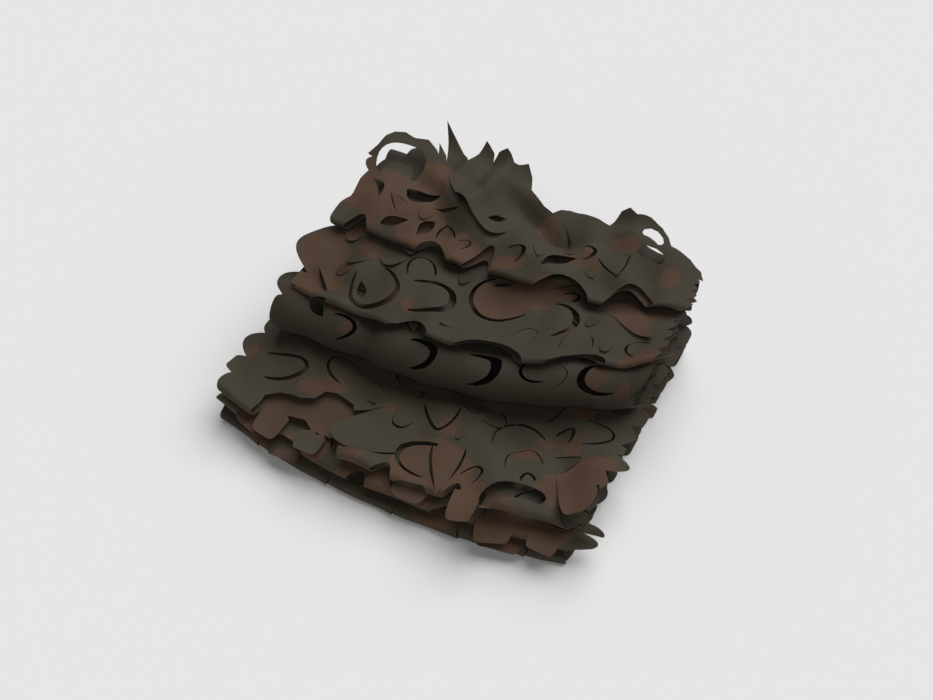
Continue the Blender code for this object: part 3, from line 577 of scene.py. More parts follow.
class Slit(Place):
    """A bare opening. Its heading runs from its first end to its second."""

    def __init__(self, slot):
        run = (slot.x1 - slot.x0, slot.y1 - slot.y0)
        super().__init__(slot.layer, (slot.x0 + slot.x1) / 2, (slot.y0 + slot.y1) / 2,
                         math.degrees(math.atan2(run[1], run[0])))
        self.slot = slot
        self.length = math.hypot(*run)
        t = np.linspace(0, 1, SLOT_STEPS + 1)
        w = (t - 0.5) * self.length
        self.close_outline(self.to_pattern(slot.left * self.bow(t), w),
                           self.to_pattern(slot.right * self.bow(t), w))

    def bow(self, t):
        return np.sin(math.pi * np.clip(t, 0, 1) ** 2 ** self.slot.skew)

    def curl(self, flat, places):
        """Curl the cloth beside the slit up or down."""
        near = np.flatnonzero(np.abs(flat - (self.x, self.s)).max(axis=1) < self.length)
        u, w = self.to_local(flat[near])
        bow = self.bow(w / self.length + 0.5)
        aside = u - (self.slot.left + self.slot.right) / 2 * bow
        past = np.maximum(np.abs(aside) - (self.slot.left - self.slot.right) / 2 * bow, 0)
        height = self.slot.lip * bow * np.exp(-(past / LIP_WIDTH) ** 2)
        height *= np.where(aside < 0, 1, -SINK_SHARE)
        normal = self.outward(flat[near, 0], flat[near, 1])[1]
        places[near] += normal * height[:, None]


# A bite is cut out of a front fold from x0 to x1. It reaches back by depth into its layer, and by
# below into the layer under the fold.
Bite = namedtuple("Bite", "layer x0 x1 depth below skew", defaults=(0,))
BITES = in_metres(Bite,
    (11, -160, -132, 8, 12, 0.3),
    (11, -78, -44, 10, 12, -0.4),
    (11, -28, 2, 24, 14, 0.5),
    (11, 49, 104, 12, 34, 0.1),
    (11, 116, 162, 25, 20, -0.2),
    (9, -60, -16, 7, 14, 0.3),
    (9, 10, 78, 11, 16, 0.1),
    (9, 96, 150, 9, 14, 0.2),
    (5, 58, 76, 10, 10),
    (3, 52, 78, 4, 10, 0.3),
    (3, -36, -16, 4, 10),
    (5, -16, 6, 8, 10, 0.3),
)


class Notch(Place):
    """A bite's opening, with its pointed ends on the fold's middle line."""

    def __init__(self, bite):
        x = (bite.x0 + bite.x1) / 2
        super().__init__(bite.layer, x, front_line(bite.layer, x), 0)
        bend = SECTIONS[2 * bite.layer - 1]
        self.s = bend.start + bend.length / 2
        t = np.linspace(0, 1, SLOT_STEPS + 1)
        bow = np.sin(math.pi * t ** 2 ** bite.skew) ** BITE_ROUNDNESS
        x = self.x + (t - 0.5) * (bite.x1 - bite.x0) / self.stretch[0]
        self.close_outline(np.stack((x, self.s + (bend.length / 2 + bite.depth) * bow), axis=1),
                           np.stack((x, self.s - (bend.length / 2 + bite.below) * bow), axis=1))


# The wide opening in the slab's top layer, by its corners in plan.
WINDOW_LAYER = 5
WINDOW_CORNERS = np.divide((
    (-152, -148), (-152, -136), (-141, -127), (-130, -125), (-117, -126), (-104, -121), (-99, -109),
    (-88, -106), (-67, -110), (-60, -120), (-60, -140), (-54, -158), (-48, -186), (-62, -196),
    (-92, -192), (-104, -198), (-130, -192), (-150, -186), (-156, -168), (-152, -148)), 1000)


def walk(corners, step):
    """Points about a step apart along a line of corners, up to its last corner."""
    points = []
    for (x0, y0), (x1, y1) in zip(corners, corners[1:]):
        steps = max(1, round(math.hypot(x1 - x0, y1 - y0) / step))
        points += [(x0 + u * (x1 - x0), y0 + u * (y1 - y0)) for u in np.arange(steps) / steps]
    return points


class Window(Place):
    """The wide opening. Past the fold line it goes on round the bend onto the layer below."""

    def __init__(self):
        super().__init__(WINDOW_LAYER, *WINDOW_CORNERS[0], 0)
        outline = np.array([(flat_x(WINDOW_LAYER, x), pattern_place(WINDOW_LAYER, x, y))
                            for x, y in walk(WINDOW_CORNERS, ARC_STEP)])
        self.close_outline(outline, outline[:1])


def inside(points, outline):
    """Which points lie inside a closed outline, by counting crossings."""
    x, y = points[..., 0], points[..., 1]
    found = np.zeros(x.shape, bool)
    for (x0, y0), (x1, y1) in zip(outline, np.roll(outline, -1, axis=0)):
        if y0 != y1:
            crosses = (y0 > y) != (y1 > y)
            found ^= crosses & (x < (x1 - x0) * (y - y0) / (y1 - y0) + x0)
    return found


def shows(layer, x, y):
    """Whether a layer's place is seen from above."""
    if layer == len(LAYERS) - 1:
        return y == y
    if layer not in COVERING_FOLD:
        return y != y
    return y < front_line(COVERING_FOLD[layer], x) + SHOWN_MARGIN


def sway(random, most):
    return random.uniform(-most, most)


def pattern_cut(random, size, layer, x, distance, heading):
    """A leaf of a repeat at x and a distance behind its layer's front fold, or None on the loose end."""
    x += sway(random, PATTERN_SCATTER)
    heading += sway(random, PATTERN_TURN)
    length = PATTERN_LEAF_LENGTH * size * random.uniform(*PATTERN_SIZES)
    width = PATTERN_LEAF_WIDTH * size * random.uniform(*PATTERN_SIZES)
    tip = random.uniform(*PATTERN_TIPS)
    full = random.uniform(*PATTERN_FULL)
    gap = random.uniform(*PATTERN_GAPS)
    front, back = front_line(layer, x), back_line(layer, x)
    y = front + distance + sway(random, PATTERN_SCATTER)
    y = min(max(y, front + PATTERN_FOLD_ROOM), back - PATTERN_FOLD_ROOM)
    lift = random.uniform(*SHOWN_LIFTS) * random.uniform(*SHOWN_LIFT_SHARES)
    x -= math.cos(math.radians(heading)) * length / 2
    y -= math.sin(math.radians(heading)) * length / 2
    if shows(layer, x, y):
        gap = random.uniform(*(BACK_GAPS if heading > 0 else FRONT_GAPS))
        lift = max(lift, LAP_LIFT) if gap < 0 else lift
    else:
        lift = hidden_lift(layer, x, y, heading, length)
    tone = int(random.choice(PATTERN_TONES))
    if layer + 1 == len(LAYERS) and y > back - LOOSE_END_ROOM:
        return None
    return Cut(layer, x, y, heading, length, width, 0.0, tip, full, gap, lift, 0, tone)


def pattern_cuts(size, phase, hidden):
    """A repeat of leaf cuts along the whole strip or, unless hidden, where the cloth shows."""
    random = np.random.default_rng(SEED + 1 + round(10 * phase))
    pitch = PATTERN_PITCH * size
    columns = round((CLOTH_WIDTH - 2 * PATTERN_MARGIN) / pitch)
    cuts = []
    for section in SECTIONS[::2]:
        layer = section.layer
        for row in range(round(section.length / pitch)):
            for column in range(columns):
                across = (column + COLUMN_START + ((row + layer) % 2) / 2) / columns - 0.5
                heading = 90 * (1 if (row + column) % 2 else -1)
                cut = pattern_cut(random, size, layer, across * (CLOTH_WIDTH - 2 * PATTERN_MARGIN),
                                  (row + 0.5 + phase) * pitch, heading)
                if cut and (hidden or shows(layer, cut.x, cut.y)):
                    cuts.append(cut)
    return cuts


def hidden_lift(layer, x, y, heading, length):
    """The angle in degrees that a leaf may lift by below the next layer."""
    if layer in (0, len(LAYERS) - 1):
        return 0.0
    along = np.linspace(0, LIFT_SPAN * length, LIFT_STATIONS)
    heading = math.radians(heading)
    rise = clear_rise(layer + 1, x + along * math.cos(heading), y + along * math.sin(heading)).min()
    return math.degrees(2 * LIFT_SHARE * min(rise, LIFT_RISE_LIMIT) / length)


def fold_leaves():
    """Leaves along the front and back folds."""
    random = np.random.default_rng(SEED + 2)
    cuts = []
    for row in FOLD_ROWS:
        count = int(CLOTH_WIDTH / row.pitch)
        bend = SECTIONS[2 * row.layer + (1 if row.back else -1)].length
        for number in range(count):
            x = (number + 0.5 + (row.layer % 4 - 2) / 4) / count * CLOTH_WIDTH - HALF_WIDTH
            x += sway(random, FRONT_SCATTER)
            root = row.root + sway(random, FRONT_SCATTER)
            turn = sway(random, row.turn)
            length = row.length * random.uniform(*FRONT_SIZES)
            width = row.width * random.uniform(*FRONT_SIZES)
            lean = sway(random, FRONT_SCATTER)
            droop = random.uniform(*row.droop)
            if number % 2:
                root = -root - bend
                droop = -droop
            y = back_line(row.layer, x) - root if row.back else front_line(row.layer, x) + root
            heading = 90 if bool(number % 2) != row.back else -90
            cuts.append(Cut(row.layer, x, y, heading + turn, length, width, lean,
                            random.uniform(*row.tips), FRONT_FULL, random.uniform(*row.gaps), droop, 1,
                            int(random.choice(row.tones))))
    return cuts


def clear_of(tongue, others):
    """Whether a cut keeps off the others and off the side edges."""
    own = tongue.hole_outline[::2]
    if np.abs(own[:, 0]).max() > HALF_WIDTH - SIDE_ROOM:
        return False
    for other in others:
        apart = np.maximum(other.low - tongue.high, tongue.low - other.high)
        if apart.max() < CUT_ROOM:
            offsets = own[:, None] - other.hole_outline[None, ::2]
            if (offsets ** 2).sum(axis=-1).min() < CUT_ROOM ** 2:
                return False
            if inside(own[:1], other.hole_outline).any() or inside(other.hole_outline[:1], own).any():
                return False
            if other.leaf_outline is not None and inside(own[:1], other.leaf_outline).any():
                return False
    return True


def all_tongues():
    """The listed cuts, and the repeats where they leave room."""
    tongues = [Tongue(cut) for cut in SHOWN_CUTS]
    openings = [Slit(slot) for slot in SLOTS] + [Notch(bite) for bite in BITES] + [Window()]
    repeats = [cut for size, phase, hidden in REPEATS for cut in pattern_cuts(size, phase, hidden)]
    for cut in fold_leaves() + repeats:
        tongue = Tongue(cut)
        if clear_of(tongue, tongues + openings):
            tongues.append(tongue)
    return tongues, openings


# ---- the cloth's edges ----
EDGE_STEP = 0.0025  # between outline points
EDGE_LEAF_PITCHES = (0.016, 0.040)
EDGE_LEAF_REACHES = (-0.002, 0.006)
EDGE_LEAF_TIPS = (1.2, 2.0, 4.0, 8.0)
EDGE_LEAF_LEAN = 0.5  # of a pointed leaf's tip, as a share of half its root
EDGE_NOTCH = -0.005  # between two leaves
LONG_LEAF_TIP = 2.0
# A longer leaf of a side edge: its layer, -1 for the left edge or 1 for the right one, its place in
# plan, half its root and how far it stands out.
EdgeLeaf = namedtuple("EdgeLeaf", "layer side y half_root reach")
EDGE_LEAVES = in_metres(EdgeLeaf,
    (3, 1, -137, 12, 18),
    (5, 1, -130, 13, 22),
    (5, 1, -68, 13, 14),
    (5, -1, -92, 18, 12),
    (7, 1, 30, 18, 14),
    (7, -1, -50, 20, 14),
    (9, -1, 12, 34, 28),
)
# The loose top end from left to right: the pattern's x, and the reach past the top layer's back line.
# It has an arch, two spikes, a jagged tuft, a low stretch, a loop and a plain corner.
END_LINE = np.divide((
    (-196, -22), (-190, -12), (-187, -1), (-182, 7), (-172, 11), (-161, 9), (-146, 12), (-133, 5),
    (-129, 1), (-134.5, 14), (-121, 3), (-117, -4), (-134, 39), (-97, 4), (-92, -2), (-86, 12),
    (-83, 28), (-71, 21), (-68, 11), (-66, 23), (-57, 26), (-44, 14), (-39, 16), (-30, 24),
    (-21, 14), (-15, 0), (6, -9), (17, -10), (23, -2), (32, 4), (48, 6), (66, 5), (80, 2), (83, 8),
    (86, 21), (94, 25), (105, 17), (121, 18), (136, 14), (146, 7), (153, -3), (163, 0), (174, 2),
    (188, -2), (194, -18)), 1000)
START_REACH = 0.009  # of the leaves along the end under the bundle


def edge_leaf_place(leaf):
    layer = LAYERS[leaf.layer]
    return pattern_place(leaf.layer, layer.left if leaf.side < 0 else layer.right, leaf.y)


def side_outline(side, end):
    """A side edge of the strip, leaf by leaf."""
    random = np.random.default_rng(SEED + 5 + side)
    longer = sorted((edge_leaf_place(leaf) - leaf.half_root, leaf.half_root, leaf.reach)
                    for leaf in EDGE_LEAVES if leaf.side == side)
    points = []
    s = 0.0
    while s < end:
        root = random.uniform(*EDGE_LEAF_PITCHES)
        reach = random.uniform(*EDGE_LEAF_REACHES)
        tip = random.choice(EDGE_LEAF_TIPS)
        lean = sway(random, EDGE_LEAF_LEAN) / max(tip, 1)
        if longer and s >= longer[0][0] - EDGE_LEAF_PITCHES[0]:
            _, half_root, reach = longer.pop(0)
            root = 2 * half_root
            tip = LONG_LEAF_TIP
        root = min(root, end - s) if end - s - root > EDGE_LEAF_PITCHES[0] / 2 else end - s
        steps = max(4, round((root + 2 * abs(reach)) / EDGE_STEP))
        for u in np.linspace(-1, 1, steps + 1)[:-1]:
            rise = 1 - abs(u) ** tip
            out = HALF_WIDTH + EDGE_NOTCH + (reach - EDGE_NOTCH) * rise
            points.append((side * out, s + root / 2 * (1 + u + lean * rise)))
        s += root
    return points


def flat_outline():
    """The strip's closed outline in the flat pattern."""
    left = side_outline(-1, CLOTH_END + END_LINE[0][1])
    right = side_outline(1, CLOTH_END + END_LINE[-1][1])
    random = np.random.default_rng(SEED + 8)
    start = []
    x = left[0][0] + EDGE_STEP
    while x < right[0][0] - EDGE_STEP:
        root = min(random.uniform(*EDGE_LEAF_PITCHES), right[0][0] - EDGE_STEP - x)
        reach = random.uniform(0, START_REACH)
        steps = max(2, round(root / EDGE_STEP))
        for u in np.linspace(-1, 1, steps + 1)[:-1]:
            start.append((x + root / 2 * (1 + u), EDGE_STEP - reach * (1 - u * u)))
        x += root
    end = [(x, CLOTH_END + reach) for x, reach in walk(END_LINE, EDGE_STEP) + [END_LINE[-1]]]
    return np.array(start + right + end[::-1] + left[::-1])


# ---- the mesh ----
SHOWN_STEP = 0.0040  # between points where the cloth is seen from above
EDGE_THINNING = 2  # the same near the side edges and folds, in steps
HIDDEN_THINNING = 4  # and inside the bundle
EDGE_ZONE = 0.035
BEND_SEGMENTS = 8
ROLL_SEGMENTS = 22
TAIL_STEP = 0.0030
GRID_SPAN = 1.2  # of the inner points before they are trimmed, in strip widths
SAME_POINT = 1e-6
RIM_ROOM = 0.0016  # between an inner point and a cut or an edge


def inner_points():
    """Points inside the strip, close together where the cloth shows."""
    columns = np.arange(round(GRID_SPAN * CLOTH_WIDTH / SHOWN_STEP) + 1)
    x = (columns - columns.mean()) * SHOWN_STEP
    near_side = np.abs(x) > HALF_WIDTH - EDGE_ZONE
    points = []
    for section in SECTIONS:
        if section.kind == "bend":
            steps = ROLL_SEGMENTS if section.layer == ROLL_LAYER else BEND_SEGMENTS
        else:
            steps = round(section.length / (TAIL_STEP if section.kind == "tail" else SHOWN_STEP))
        for row in range(steps):
            s = section.start + section.length * (row + (section.kind != "bend") / 2) / steps
            thinning = np.where(near_side, EDGE_THINNING, HIDDEN_THINNING)
            place = fold(x, np.full(x.shape, s))
            if section.kind == "tail":
                thinning[:] = 1
            elif section.kind == "bend":
                thinning[:] = 1 if section.layer % 2 == 0 else EDGE_THINNING
            else:
                thinning[shows(section.layer, place[:, 0], place[:, 1])] = 1
            in_row = (row % thinning == 0) | (section.kind == "bend")
            kept = in_row & ((columns + row // thinning) % thinning == 0)
            points.append(np.stack((x[kept], np.full(kept.sum(), s)), axis=1))
    return np.concatenate(points)


def far_from(points, rims):
    """The points that keep off the outlines."""
    taken = {}
    for rim in rims:
        taken.setdefault(tuple(np.floor(rim / RIM_ROOM).astype(int)), []).append(rim)
    kept = []
    for point in points:
        column, row = np.floor(point / RIM_ROOM).astype(int)
        near = [rim for across in (-1, 0, 1) for along in (-1, 0, 1)
                for rim in taken.get((column + across, row + along), ())]
        if not near or np.min(np.hypot(*(np.array(near) - point).T)) > RIM_ROOM:
            kept.append(point)
    return np.array(kept)


def triangulate(tongues, openings):
    """Points and triangles of the flat pattern, with the cuts open in it."""
    outline = flat_outline()
    loops = [outline] + [hole.hole_outline for hole in openings + tongues]
    rims = np.concatenate(loops)
    edges = []
    first = 0
    for loop in loops:
        edges += [(first + k, first + (k + 1) % len(loop)) for k in range(len(loop))]
        first += len(loop)
    inner = inner_points()
    inner = far_from(inner[inside(inner, outline)], rims)
    points = np.concatenate((rims, inner))
    found = delaunay_2d_cdt([Vector(point) for point in points], edges, [], 0, SAME_POINT)
    flat = np.array([tuple(point) for point in found[0]])
    triangles = np.array([tuple(face) for face in found[2]])
    centres = flat[triangles].mean(axis=1)
    kept = inside(centres, outline)
    whole = kept.copy()
    for hole in openings:
        if isinstance(hole, Slit):
            whole &= ~inside(centres, hole.hole_outline)
    for hole in openings + tongues:
        near = hole.around(centres)
        kept[near] &= ~inside(centres[near], hole.hole_outline)
        if hole in tongues:
            kept[near] |= inside(centres[near], hole.leaf_outline) & whole[near]
    return flat, one_piece(len(flat), triangles[kept])


def one_piece(count, triangles):
    """The triangles of the largest connected part."""
    label = np.arange(count)
    while True:
        least = label[triangles].min(axis=1)
        lower = label.copy()
        for corner in range(3):
            np.minimum.at(lower, triangles[:, corner], least)
        lower = lower[lower]
        if (lower == label).all():
            break
        label = lower
    parts, sizes = np.unique(label[triangles[:, 0]], return_counts=True)
    return triangles[label[triangles[:, 0]] == parts[np.argmax(sizes)]]


def fold_cloth(flat, tongues, openings):
    """The folded places of the pattern's points, with every cut leaf lifted."""
    places = fold(flat[:, 0], flat[:, 1])
    for opening in openings:
        if isinstance(opening, Slit):
            opening.curl(flat, places)
    for tongue in tongues:
        reach = LEAF_SEARCH * max(tongue.cut.length, tongue.cut.width)
        near = np.abs(flat - (tongue.x, tongue.s)).max(axis=1) < reach / tongue.stretch.min()
        covered = np.flatnonzero(near)
        covered = covered[tongue.covers(flat[covered])]
        if len(covered):
            places[covered] = tongue.lift(flat[covered])
    return places - CENTRE


# ---- the print ----
# A brown patch of the print: its middle on a layer in plan, its half sizes and its turn in degrees.
Patch = namedtuple("Patch", "layer x y half_length half_width turn", defaults=(0,))
PATCHES = in_metres(Patch,
    (11, -140, 90, 58, 34, -12), (7, -120, -42, 14, 12), (11, -85, 68, 45, 26, -30),
    (11, -30, 58, 26, 13, -20), (11, 70, 52, 26, 14, 10), (11, 112, 128, 14, 10),
    (9, -160, -10, 36, 40), (9, 46, 46, 30, 22), (9, 176, 22, 16, 18, -45),
    (7, 140, -12, 12, 18), (5, -93, -98, 12, 9), (5, -18, -74, 7, 6),
    (5, 35, -145, 36, 36, -20), (5, 164, -100, 24, 40, -30), (5, 120, -66, 10, 7),
    (5, 110, -168, 40, 16), (11, -98, 128, 24, 16, -30), (11, 28, 128, 10, 14),
    (11, 12, 56, 20, 8, 10), (11, 84, 92, 18, 9), (11, 164, 114, 10, 18), (9, -124, 26, 14, 12),
    (9, -50, -22, 10, 8), (9, 72, 62, 12, 10), (9, 168, 86, 12, 26, -20), (7, -97, -62, 9, 8),
    (5, -112, -108, 22, 9, 20), (5, -34, -98, 9, 7), (5, 30, -96, 11, 10),
    (5, 138, -18, 12, 10), (5, 142, -60, 9, 12), (5, 108, -88, 12, 9), (5, 112, -138, 14, 12),
    (5, 79, -150, 14, 12), (5, -40, -160, 12, 16), (5, -192, -98, 8, 10),
    (4, -110, -130, 60, 30, 10), (4, -60, -160, 22, 14), (4, 90, -160, 40, 22),
    (3, -90, -160, 24, 18), (3, 0, -168, 50, 16), (3, 150, -150, 30, 20), (1, 50, -170, 24, 14),
    (1, -150, -165, 20, 12),
)
PATCH_PITCH = 0.105  # of the repeat in the cloth that is folded away
PATCH_SCATTER = 0.02
PATCH_SIZES = (0.026, 0.052)
PRINT_REACH = 1.0  # the field's least value, in patch radii
TONE_EDGE = 0.003  # how far past its hinge a leaf's own tone starts
PAINTED_LEAF_SHADES = (-0.32, 0.06)  # painted shade: how much darker or lighter a leaf is drawn than the cloth around it, at random, standing in for leaves that lie at different angles to the light
PAINTED_LAYER_SHADES = {ROLL_LAYER: -2.4, ROLL_LAYER + 1: -2.4, 9: -0.9}  # painted shade: how much darker the roll's layers and the pile's layer 9 are drawn, where shade falls on them


def print_field(flat, random):
    """The print, positive in the brown patches, by distance in patch radii."""
    field = np.full(len(flat), -PRINT_REACH)
    # A bend has the patches of the odd layer beside it, which is the one that shows.
    layers = np.array([section.layer | (section.kind == "bend") for section in SECTIONS])
    layers = layers[section_index(flat[:, 1])]
    for patch in PATCHES:
        across = flat[:, 0] - flat_x(patch.layer, patch.x)
        along = flat[:, 1] - pattern_place(patch.layer, patch.x, patch.y)
        turn = math.radians(patch.turn)
        u = (across * math.cos(turn) + along * math.sin(turn)) / patch.half_length
        v = (along * math.cos(turn) - across * math.sin(turn)) / patch.half_width
        field = np.where(layers == patch.layer, np.maximum(field, 1 - np.hypot(u, v)), field)
    hand_placed = np.isin(layers, [patch.layer for patch in PATCHES])
    for row in range(round(CLOTH_END / PATCH_PITCH) + 1):
        for column in range(round(CLOTH_WIDTH / PATCH_PITCH) + 1):
            x = (column + (row % 2) / 2) * PATCH_PITCH - HALF_WIDTH + sway(random, PATCH_SCATTER)
            s = row * PATCH_PITCH + sway(random, PATCH_SCATTER)
            half_length, half_width = random.uniform(*PATCH_SIZES, 2)
            away = np.hypot((flat[:, 0] - x) / half_length, (flat[:, 1] - s) / half_width)
            field = np.maximum(field, np.where(hand_placed, -PRINT_REACH, 1 - away))
    return field


def paint_leaf_shades(flat, tongues, field, random):
    """Give the brown and green leaves their own print, and find every point's painted shade, a random
    darkening or lightening of each repeated leaf that stands in for leaves tilted to the light.
    """
    shades = np.zeros(len(flat))
    painted_leaf_shades = random.uniform(*PAINTED_LEAF_SHADES, len(tongues))
    painted_leaf_shades[:len(SHOWN_CUTS)] = 0
    for tongue, shade in zip(tongues, painted_leaf_shades):
        near = tongue.around(flat)
        near = near[tongue.covers(flat[near])]
        share = np.clip(tongue.to_local(flat[near])[1] / TONE_EDGE - 1, 0, 1)
        shades[near] = share * shade
        if tongue.cut.tone:
            field[near] += share * (tongue.cut.tone - field[near])
    return shades


def fold_wear_and_painted_shade(flat):
    """1 along the fold lines, where the cloth is worn, and 0 away from them, with painted shade taken off
    on the roll and the pile's layer 9.
    """
    wear_and_shade = np.zeros(len(flat))
    for section in SECTIONS:
        if section.kind == "bend":
            middle = section.start + section.length / 2
            wear_and_shade = np.maximum(wear_and_shade, np.exp(-((flat[:, 1] - middle) / (section.length / 2)) ** 2))
    # painted shade of the roll and layer 9, added to the worn fold lines
    tones = np.array([PAINTED_LAYER_SHADES.get(section.layer, 0.0) for section in SECTIONS])
    return wear_and_shade + tones[section_index(flat[:, 1])]


# ---- materials ----
GREEN = (0.053, 0.0435, 0.0295, 1)
BROWN = (0.082, 0.047, 0.029, 1)
BACK_GREEN = (0.049, 0.041, 0.030, 1)
BACK_BROWN = (0.072, 0.044, 0.030, 1)
CUT_EDGE = (0.110, 0.095, 0.072, 1)
# Noise over the flat pattern: how many of its features go to a metre, their detail and roughness.
Noise = namedtuple("Noise", "scale detail roughness")
PATCH_NOISE = Noise(38, 3, 0.55)  # of the brown patches' uneven edges
CLOUD_NOISE = Noise(16, 5, 0.6)  # of the coating's broad unevenness
GRAIN_NOISE = Noise(700, 2, 0.5)
CRUMPLE_NOISE = Noise(60, 4, 0.6)
FRAY_NOISE = Noise(300, 3, 0.5)
THREAD_SCALE = 420  # of the bands that the weave's threads make
PATCH_WOBBLE = 1.3  # in patch radii
PATCH_BLUR = 0.02
PLAIN_VALUE = 0.94  # the colours' brightness, which these raise or lower
CLOUD_VALUE = 0.5
# of the worn fold lines together with the painted shade of the roll and layer 9
WEAR_AND_SHADE_VALUE = 0.12
GRAIN_VALUE = 0.12
CRUMPLE_BUMP = {"Strength": 0.5, "Distance": 0.0020}
WEAVE_BUMP = {"Strength": 0.35, "Distance": 0.0001}
SMOOTHEST = 0.60
CLOUD_ROUGHNESS = 0.25
SPECULAR = 0.18
SHEEN = 0.03
SHEEN_ROUGHNESS = 0.5
EDGE_ROUGHNESS = 0.85
EDGE_VALUE = 0.3


def feed(tree, socket, value):
    """Link a socket to another one, or set it to a value."""
    if isinstance(value, bpy.types.NodeSocket):
        tree.links.new(value, socket)
    else:
        socket.default_value = value


def node(tree, kind, **inputs):
    """A new node with some of its sockets or settings set."""
    made = tree.nodes.new(kind)
    for name, value in inputs.items():
        label = name.replace("_", " ")
        if label in made.inputs:
            feed(tree, made.inputs[label], value)
        else:
            setattr(made, name, value)
    return made


def math_node(tree, operation, joined, *values):
    """Math nodes that join values in turn, each a socket or a number."""
    for value in values:
        made = node(tree, "ShaderNodeMath", operation=operation)
        feed(tree, made.inputs[0], joined)
        feed(tree, made.inputs[1], value)
        joined = made.outputs[0]
    return joined


def attribute(tree, name):
    return node(tree, "ShaderNodeAttribute", attribute_name=name).outputs["Fac"]


def new_material(name):
    """A material, its tree and shader, and the socket of its place in the flat pattern."""
    material = bpy.data.materials.new(name)
    material.use_nodes = True
    tree = material.node_tree
    pattern = node(tree, "ShaderNodeUVMap", uv_map="pattern").outputs["UV"]
    return material, tree, tree.nodes["Principled BSDF"].inputs, pattern


def noise(tree, pattern, kind):
    return node(tree, "ShaderNodeTexNoise", Vector=pattern, Scale=kind.scale, Detail=kind.detail,
                Roughness=kind.roughness).outputs["Fac"]


def printed_colour(tree, pattern, green, brown):
    """The two-colour print, with uneven edges to its patches."""
    wobble = math_node(tree, "SUBTRACT", noise(tree, pattern, PATCH_NOISE), 0.5)
    wobble = math_node(tree, "MULTIPLY", wobble, PATCH_WOBBLE)
    field = math_node(tree, "ADD", attribute(tree, "print_field"), wobble)
    patch = node(tree, "ShaderNodeMapRange", Value=field, From_Min=-PATCH_BLUR, From_Max=PATCH_BLUR)
    printed = node(tree, "ShaderNodeMix", data_type="RGBA", Factor=patch.outputs["Result"])
    colours = [socket for socket in printed.inputs if socket.type == "RGBA"]
    feed(tree, colours[0], green)
    feed(tree, colours[1], brown)
    return [socket for socket in printed.outputs if socket.type == "RGBA"][0]


def brightness(tree, pattern, clouds):
    """The colours' brightness, from the coating, the worn fold lines with the painted shade of the roll and
    layer 9, the leaves' painted shades and the grain.
    """
    coating = math_node(tree, "MULTIPLY", math_node(tree, "SUBTRACT", clouds, 0.5), CLOUD_VALUE)
    wear_and_shade = math_node(tree, "MULTIPLY", attribute(tree, "fold_wear_and_painted_shade"), WEAR_AND_SHADE_VALUE)
    grain = math_node(tree, "MULTIPLY", noise(tree, pattern, GRAIN_NOISE), GRAIN_VALUE)
    return math_node(tree, "ADD", coating, wear_and_shade, attribute(tree, "painted_leaf_shade"), grain, PLAIN_VALUE)


def cloth_normal(tree, pattern):
    """Soft crumples with a fine weave over them."""
    warp, weft = (node(tree, "ShaderNodeTexWave", Vector=pattern, Scale=THREAD_SCALE,
                       bands_direction=way).outputs["Fac"] for way in "XY")
    soft = node(tree, "ShaderNodeBump", Height=noise(tree, pattern, CRUMPLE_NOISE), **CRUMPLE_BUMP)
    fine = node(tree, "ShaderNodeBump", Height=math_node(tree, "ADD", warp, weft),
                Normal=soft.outputs["Normal"], **WEAVE_BUMP)
    return fine.outputs["Normal"]


def cloth_material(name, green, brown):
    """Matte coated cloth with a two-colour print, a fine weave, slightly worn fold lines, painted shade on
    the roll, layer 9 and the leaves, and creasing.
    """
    material, tree, shader, pattern = new_material(name)
    clouds = noise(tree, pattern, CLOUD_NOISE)
    toned = node(tree, "ShaderNodeHueSaturation", Color=printed_colour(tree, pattern, green, brown),
                 Value=brightness(tree, pattern, clouds))
    feed(tree, shader["Base Color"], toned.outputs["Color"])
    feed(tree, shader["Normal"], cloth_normal(tree, pattern))
    rough = math_node(tree, "MULTIPLY", clouds, CLOUD_ROUGHNESS)
    feed(tree, shader["Roughness"], math_node(tree, "ADD", rough, SMOOTHEST))
    shader["Specular IOR Level"].default_value = SPECULAR
    shader["Sheen Weight"].default_value = SHEEN
    shader["Sheen Roughness"].default_value = SHEEN_ROUGHNESS
    return material


def cut_edge_material():
    """The pale base cloth that the cut edges lay bare."""
    material, tree, shader, pattern = new_material("cut_edge")
    value = math_node(tree, "ADD", noise(tree, pattern, FRAY_NOISE), EDGE_VALUE)
    tone = node(tree, "ShaderNodeHueSaturation", Color=CUT_EDGE, Value=value)
    feed(tree, shader["Base Color"], tone.outputs["Color"])
    shader["Roughness"].default_value = EDGE_ROUGHNESS
    return material


# ---- the pieces ----
SHARP_ANGLE = math.radians(50)


def add_object(name, data):
    added = bpy.data.objects.new(name, data)
    bpy.context.scene.collection.objects.link(added)
    return added


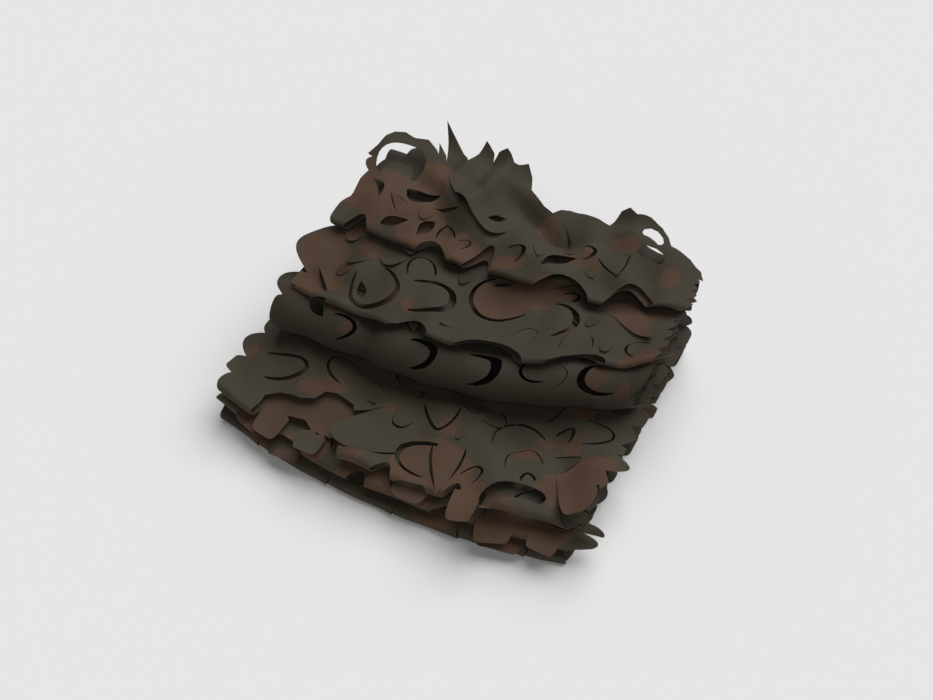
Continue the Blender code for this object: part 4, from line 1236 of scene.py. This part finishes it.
def cloth_mesh():
    """The whole net as one open sheet, folded."""
    tongues, openings = all_tongues()
    flat, triangles = triangulate(tongues, openings)
    used = np.unique(triangles)
    number = np.full(len(flat), -1)
    number[used] = np.arange(len(used))
    places = fold_cloth(flat, tongues, openings)[used]
    flat = flat[used]
    mesh = bpy.data.meshes.new("net_sheet")
    mesh.from_pydata(places.tolist(), [], number[triangles].tolist())
    corners = np.zeros(len(mesh.loops), int)
    mesh.loops.foreach_get("vertex_index", corners)
    uv = mesh.uv_layers.new(name="pattern").uv
    uv.foreach_set("vector", (flat[corners] + (HALF_WIDTH, 0)).ravel())
    random = np.random.default_rng(SEED + 3)
    field = print_field(flat, random)
    shades = paint_leaf_shades(flat, tongues, field, random)
    # the last two attributes carry painted shade: the leaves' own, and the roll's and layer 9's beside the
    # worn fold lines
    for name, values in (("print_field", field), ("painted_leaf_shade", shades), ("fold_wear_and_painted_shade", fold_wear_and_painted_shade(flat))):
        mesh.attributes.new(name, "FLOAT", "POINT").data.foreach_set("value", values)
    mesh.materials.append(cloth_material("coated_cloth_face", GREEN, BROWN))
    mesh.materials.append(cloth_material("coated_cloth_back", BACK_GREEN, BACK_BROWN))
    mesh.materials.append(cut_edge_material())
    return mesh


def build_cloth():
    """The net as one thin closed sheet, which shows its base cloth at the cut edges."""
    sheet = add_object("leaf_cut_cloth", cloth_mesh())
    thickness = sheet.modifiers.new("thickness", "SOLIDIFY")
    thickness.thickness = CLOTH_THICKNESS
    thickness.offset = 0
    thickness.material_offset = 1
    thickness.material_offset_rim = 2
    solid = bpy.data.meshes.new_from_object(sheet.evaluated_get(bpy.context.evaluated_depsgraph_get()))
    sheet.modifiers.clear()
    sheet.data = solid
    solid.shade_smooth()
    solid.set_sharp_from_angle(angle=SHARP_ANGLE)
    return sheet


# ---- floor, light and camera ----
FLOOR_HALF = 30.0
FLOOR_DEPTH = 0.0003  # under the net's base, at z = 0
FLOOR_COLOUR = (0.83, 0.83, 0.83, 1)
CAMERA_AZIMUTH = math.radians(27)
CAMERA_ELEVATION = math.radians(48)
CAMERA_DISTANCE = 1.30
CAMERA_TARGET = Vector((0.0010, -0.0034, 0.050))
CAMERA_LENS = 50
CAMERA_BACK = Vector((math.sin(CAMERA_AZIMUTH) * math.cos(CAMERA_ELEVATION),
                      -math.cos(CAMERA_AZIMUTH) * math.cos(CAMERA_ELEVATION),
                      math.sin(CAMERA_ELEVATION)))   # the direction from the net to the camera
WORLD_COLOUR = (1.0, 0.99, 0.97, 1)
WORLD_STRENGTH = 0.07
# The two lights, by where they shine from, their strength and their size in the sky.
Sun = namedtuple("Sun", "name start strength angle")
SUNS = (
    Sun("key", Vector((0.20, 0.70, 1.20)), 2.75, math.radians(62)),
    Sun("fill", CAMERA_BACK, 0.58, math.radians(25)),
)


def build_floor():
    material = bpy.data.materials.new("floor")
    material.use_nodes = True
    shader = material.node_tree.nodes["Principled BSDF"].inputs
    shader["Base Color"].default_value = FLOOR_COLOUR
    shader["Roughness"].default_value = 1.0
    shader["Specular IOR Level"].default_value = 0.0
    mesh = bpy.data.meshes.new("floor")
    corners = [(x * FLOOR_HALF, y * FLOOR_HALF, -FLOOR_DEPTH)
               for x, y in ((-1, -1), (1, -1), (1, 1), (-1, 1))]
    mesh.from_pydata(corners, [], [(0, 1, 2, 3)])
    mesh.materials.append(material)
    add_object("floor", mesh)


def facing(start):
    """The turn of a lamp or camera that looks from there at the net."""
    return (-start).to_track_quat("-Z", "Y").to_euler()


def build_light():
    world = bpy.data.worlds.new("studio")
    bpy.context.scene.world = world
    world.use_nodes = True
    background = world.node_tree.nodes["Background"].inputs
    background["Color"].default_value = WORLD_COLOUR
    background["Strength"].default_value = WORLD_STRENGTH
    for sun in SUNS:
        light = bpy.data.lights.new(sun.name, "SUN")
        light.energy = sun.strength
        light.angle = sun.angle
        add_object(sun.name, light).rotation_euler = facing(sun.start)


def build_camera():
    camera = bpy.data.cameras.new("camera")
    camera.lens = CAMERA_LENS
    holder = add_object("camera", camera)
    holder.location = CAMERA_TARGET + CAMERA_BACK * CAMERA_DISTANCE
    holder.rotation_euler = facing(CAMERA_BACK)
    bpy.context.scene.camera = holder


bpy.context.scene.view_settings.view_transform = "Standard"
build_floor()
build_light()
build_camera()
cloth = build_cloth()
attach(cloth, "root")
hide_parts("net_cloth")
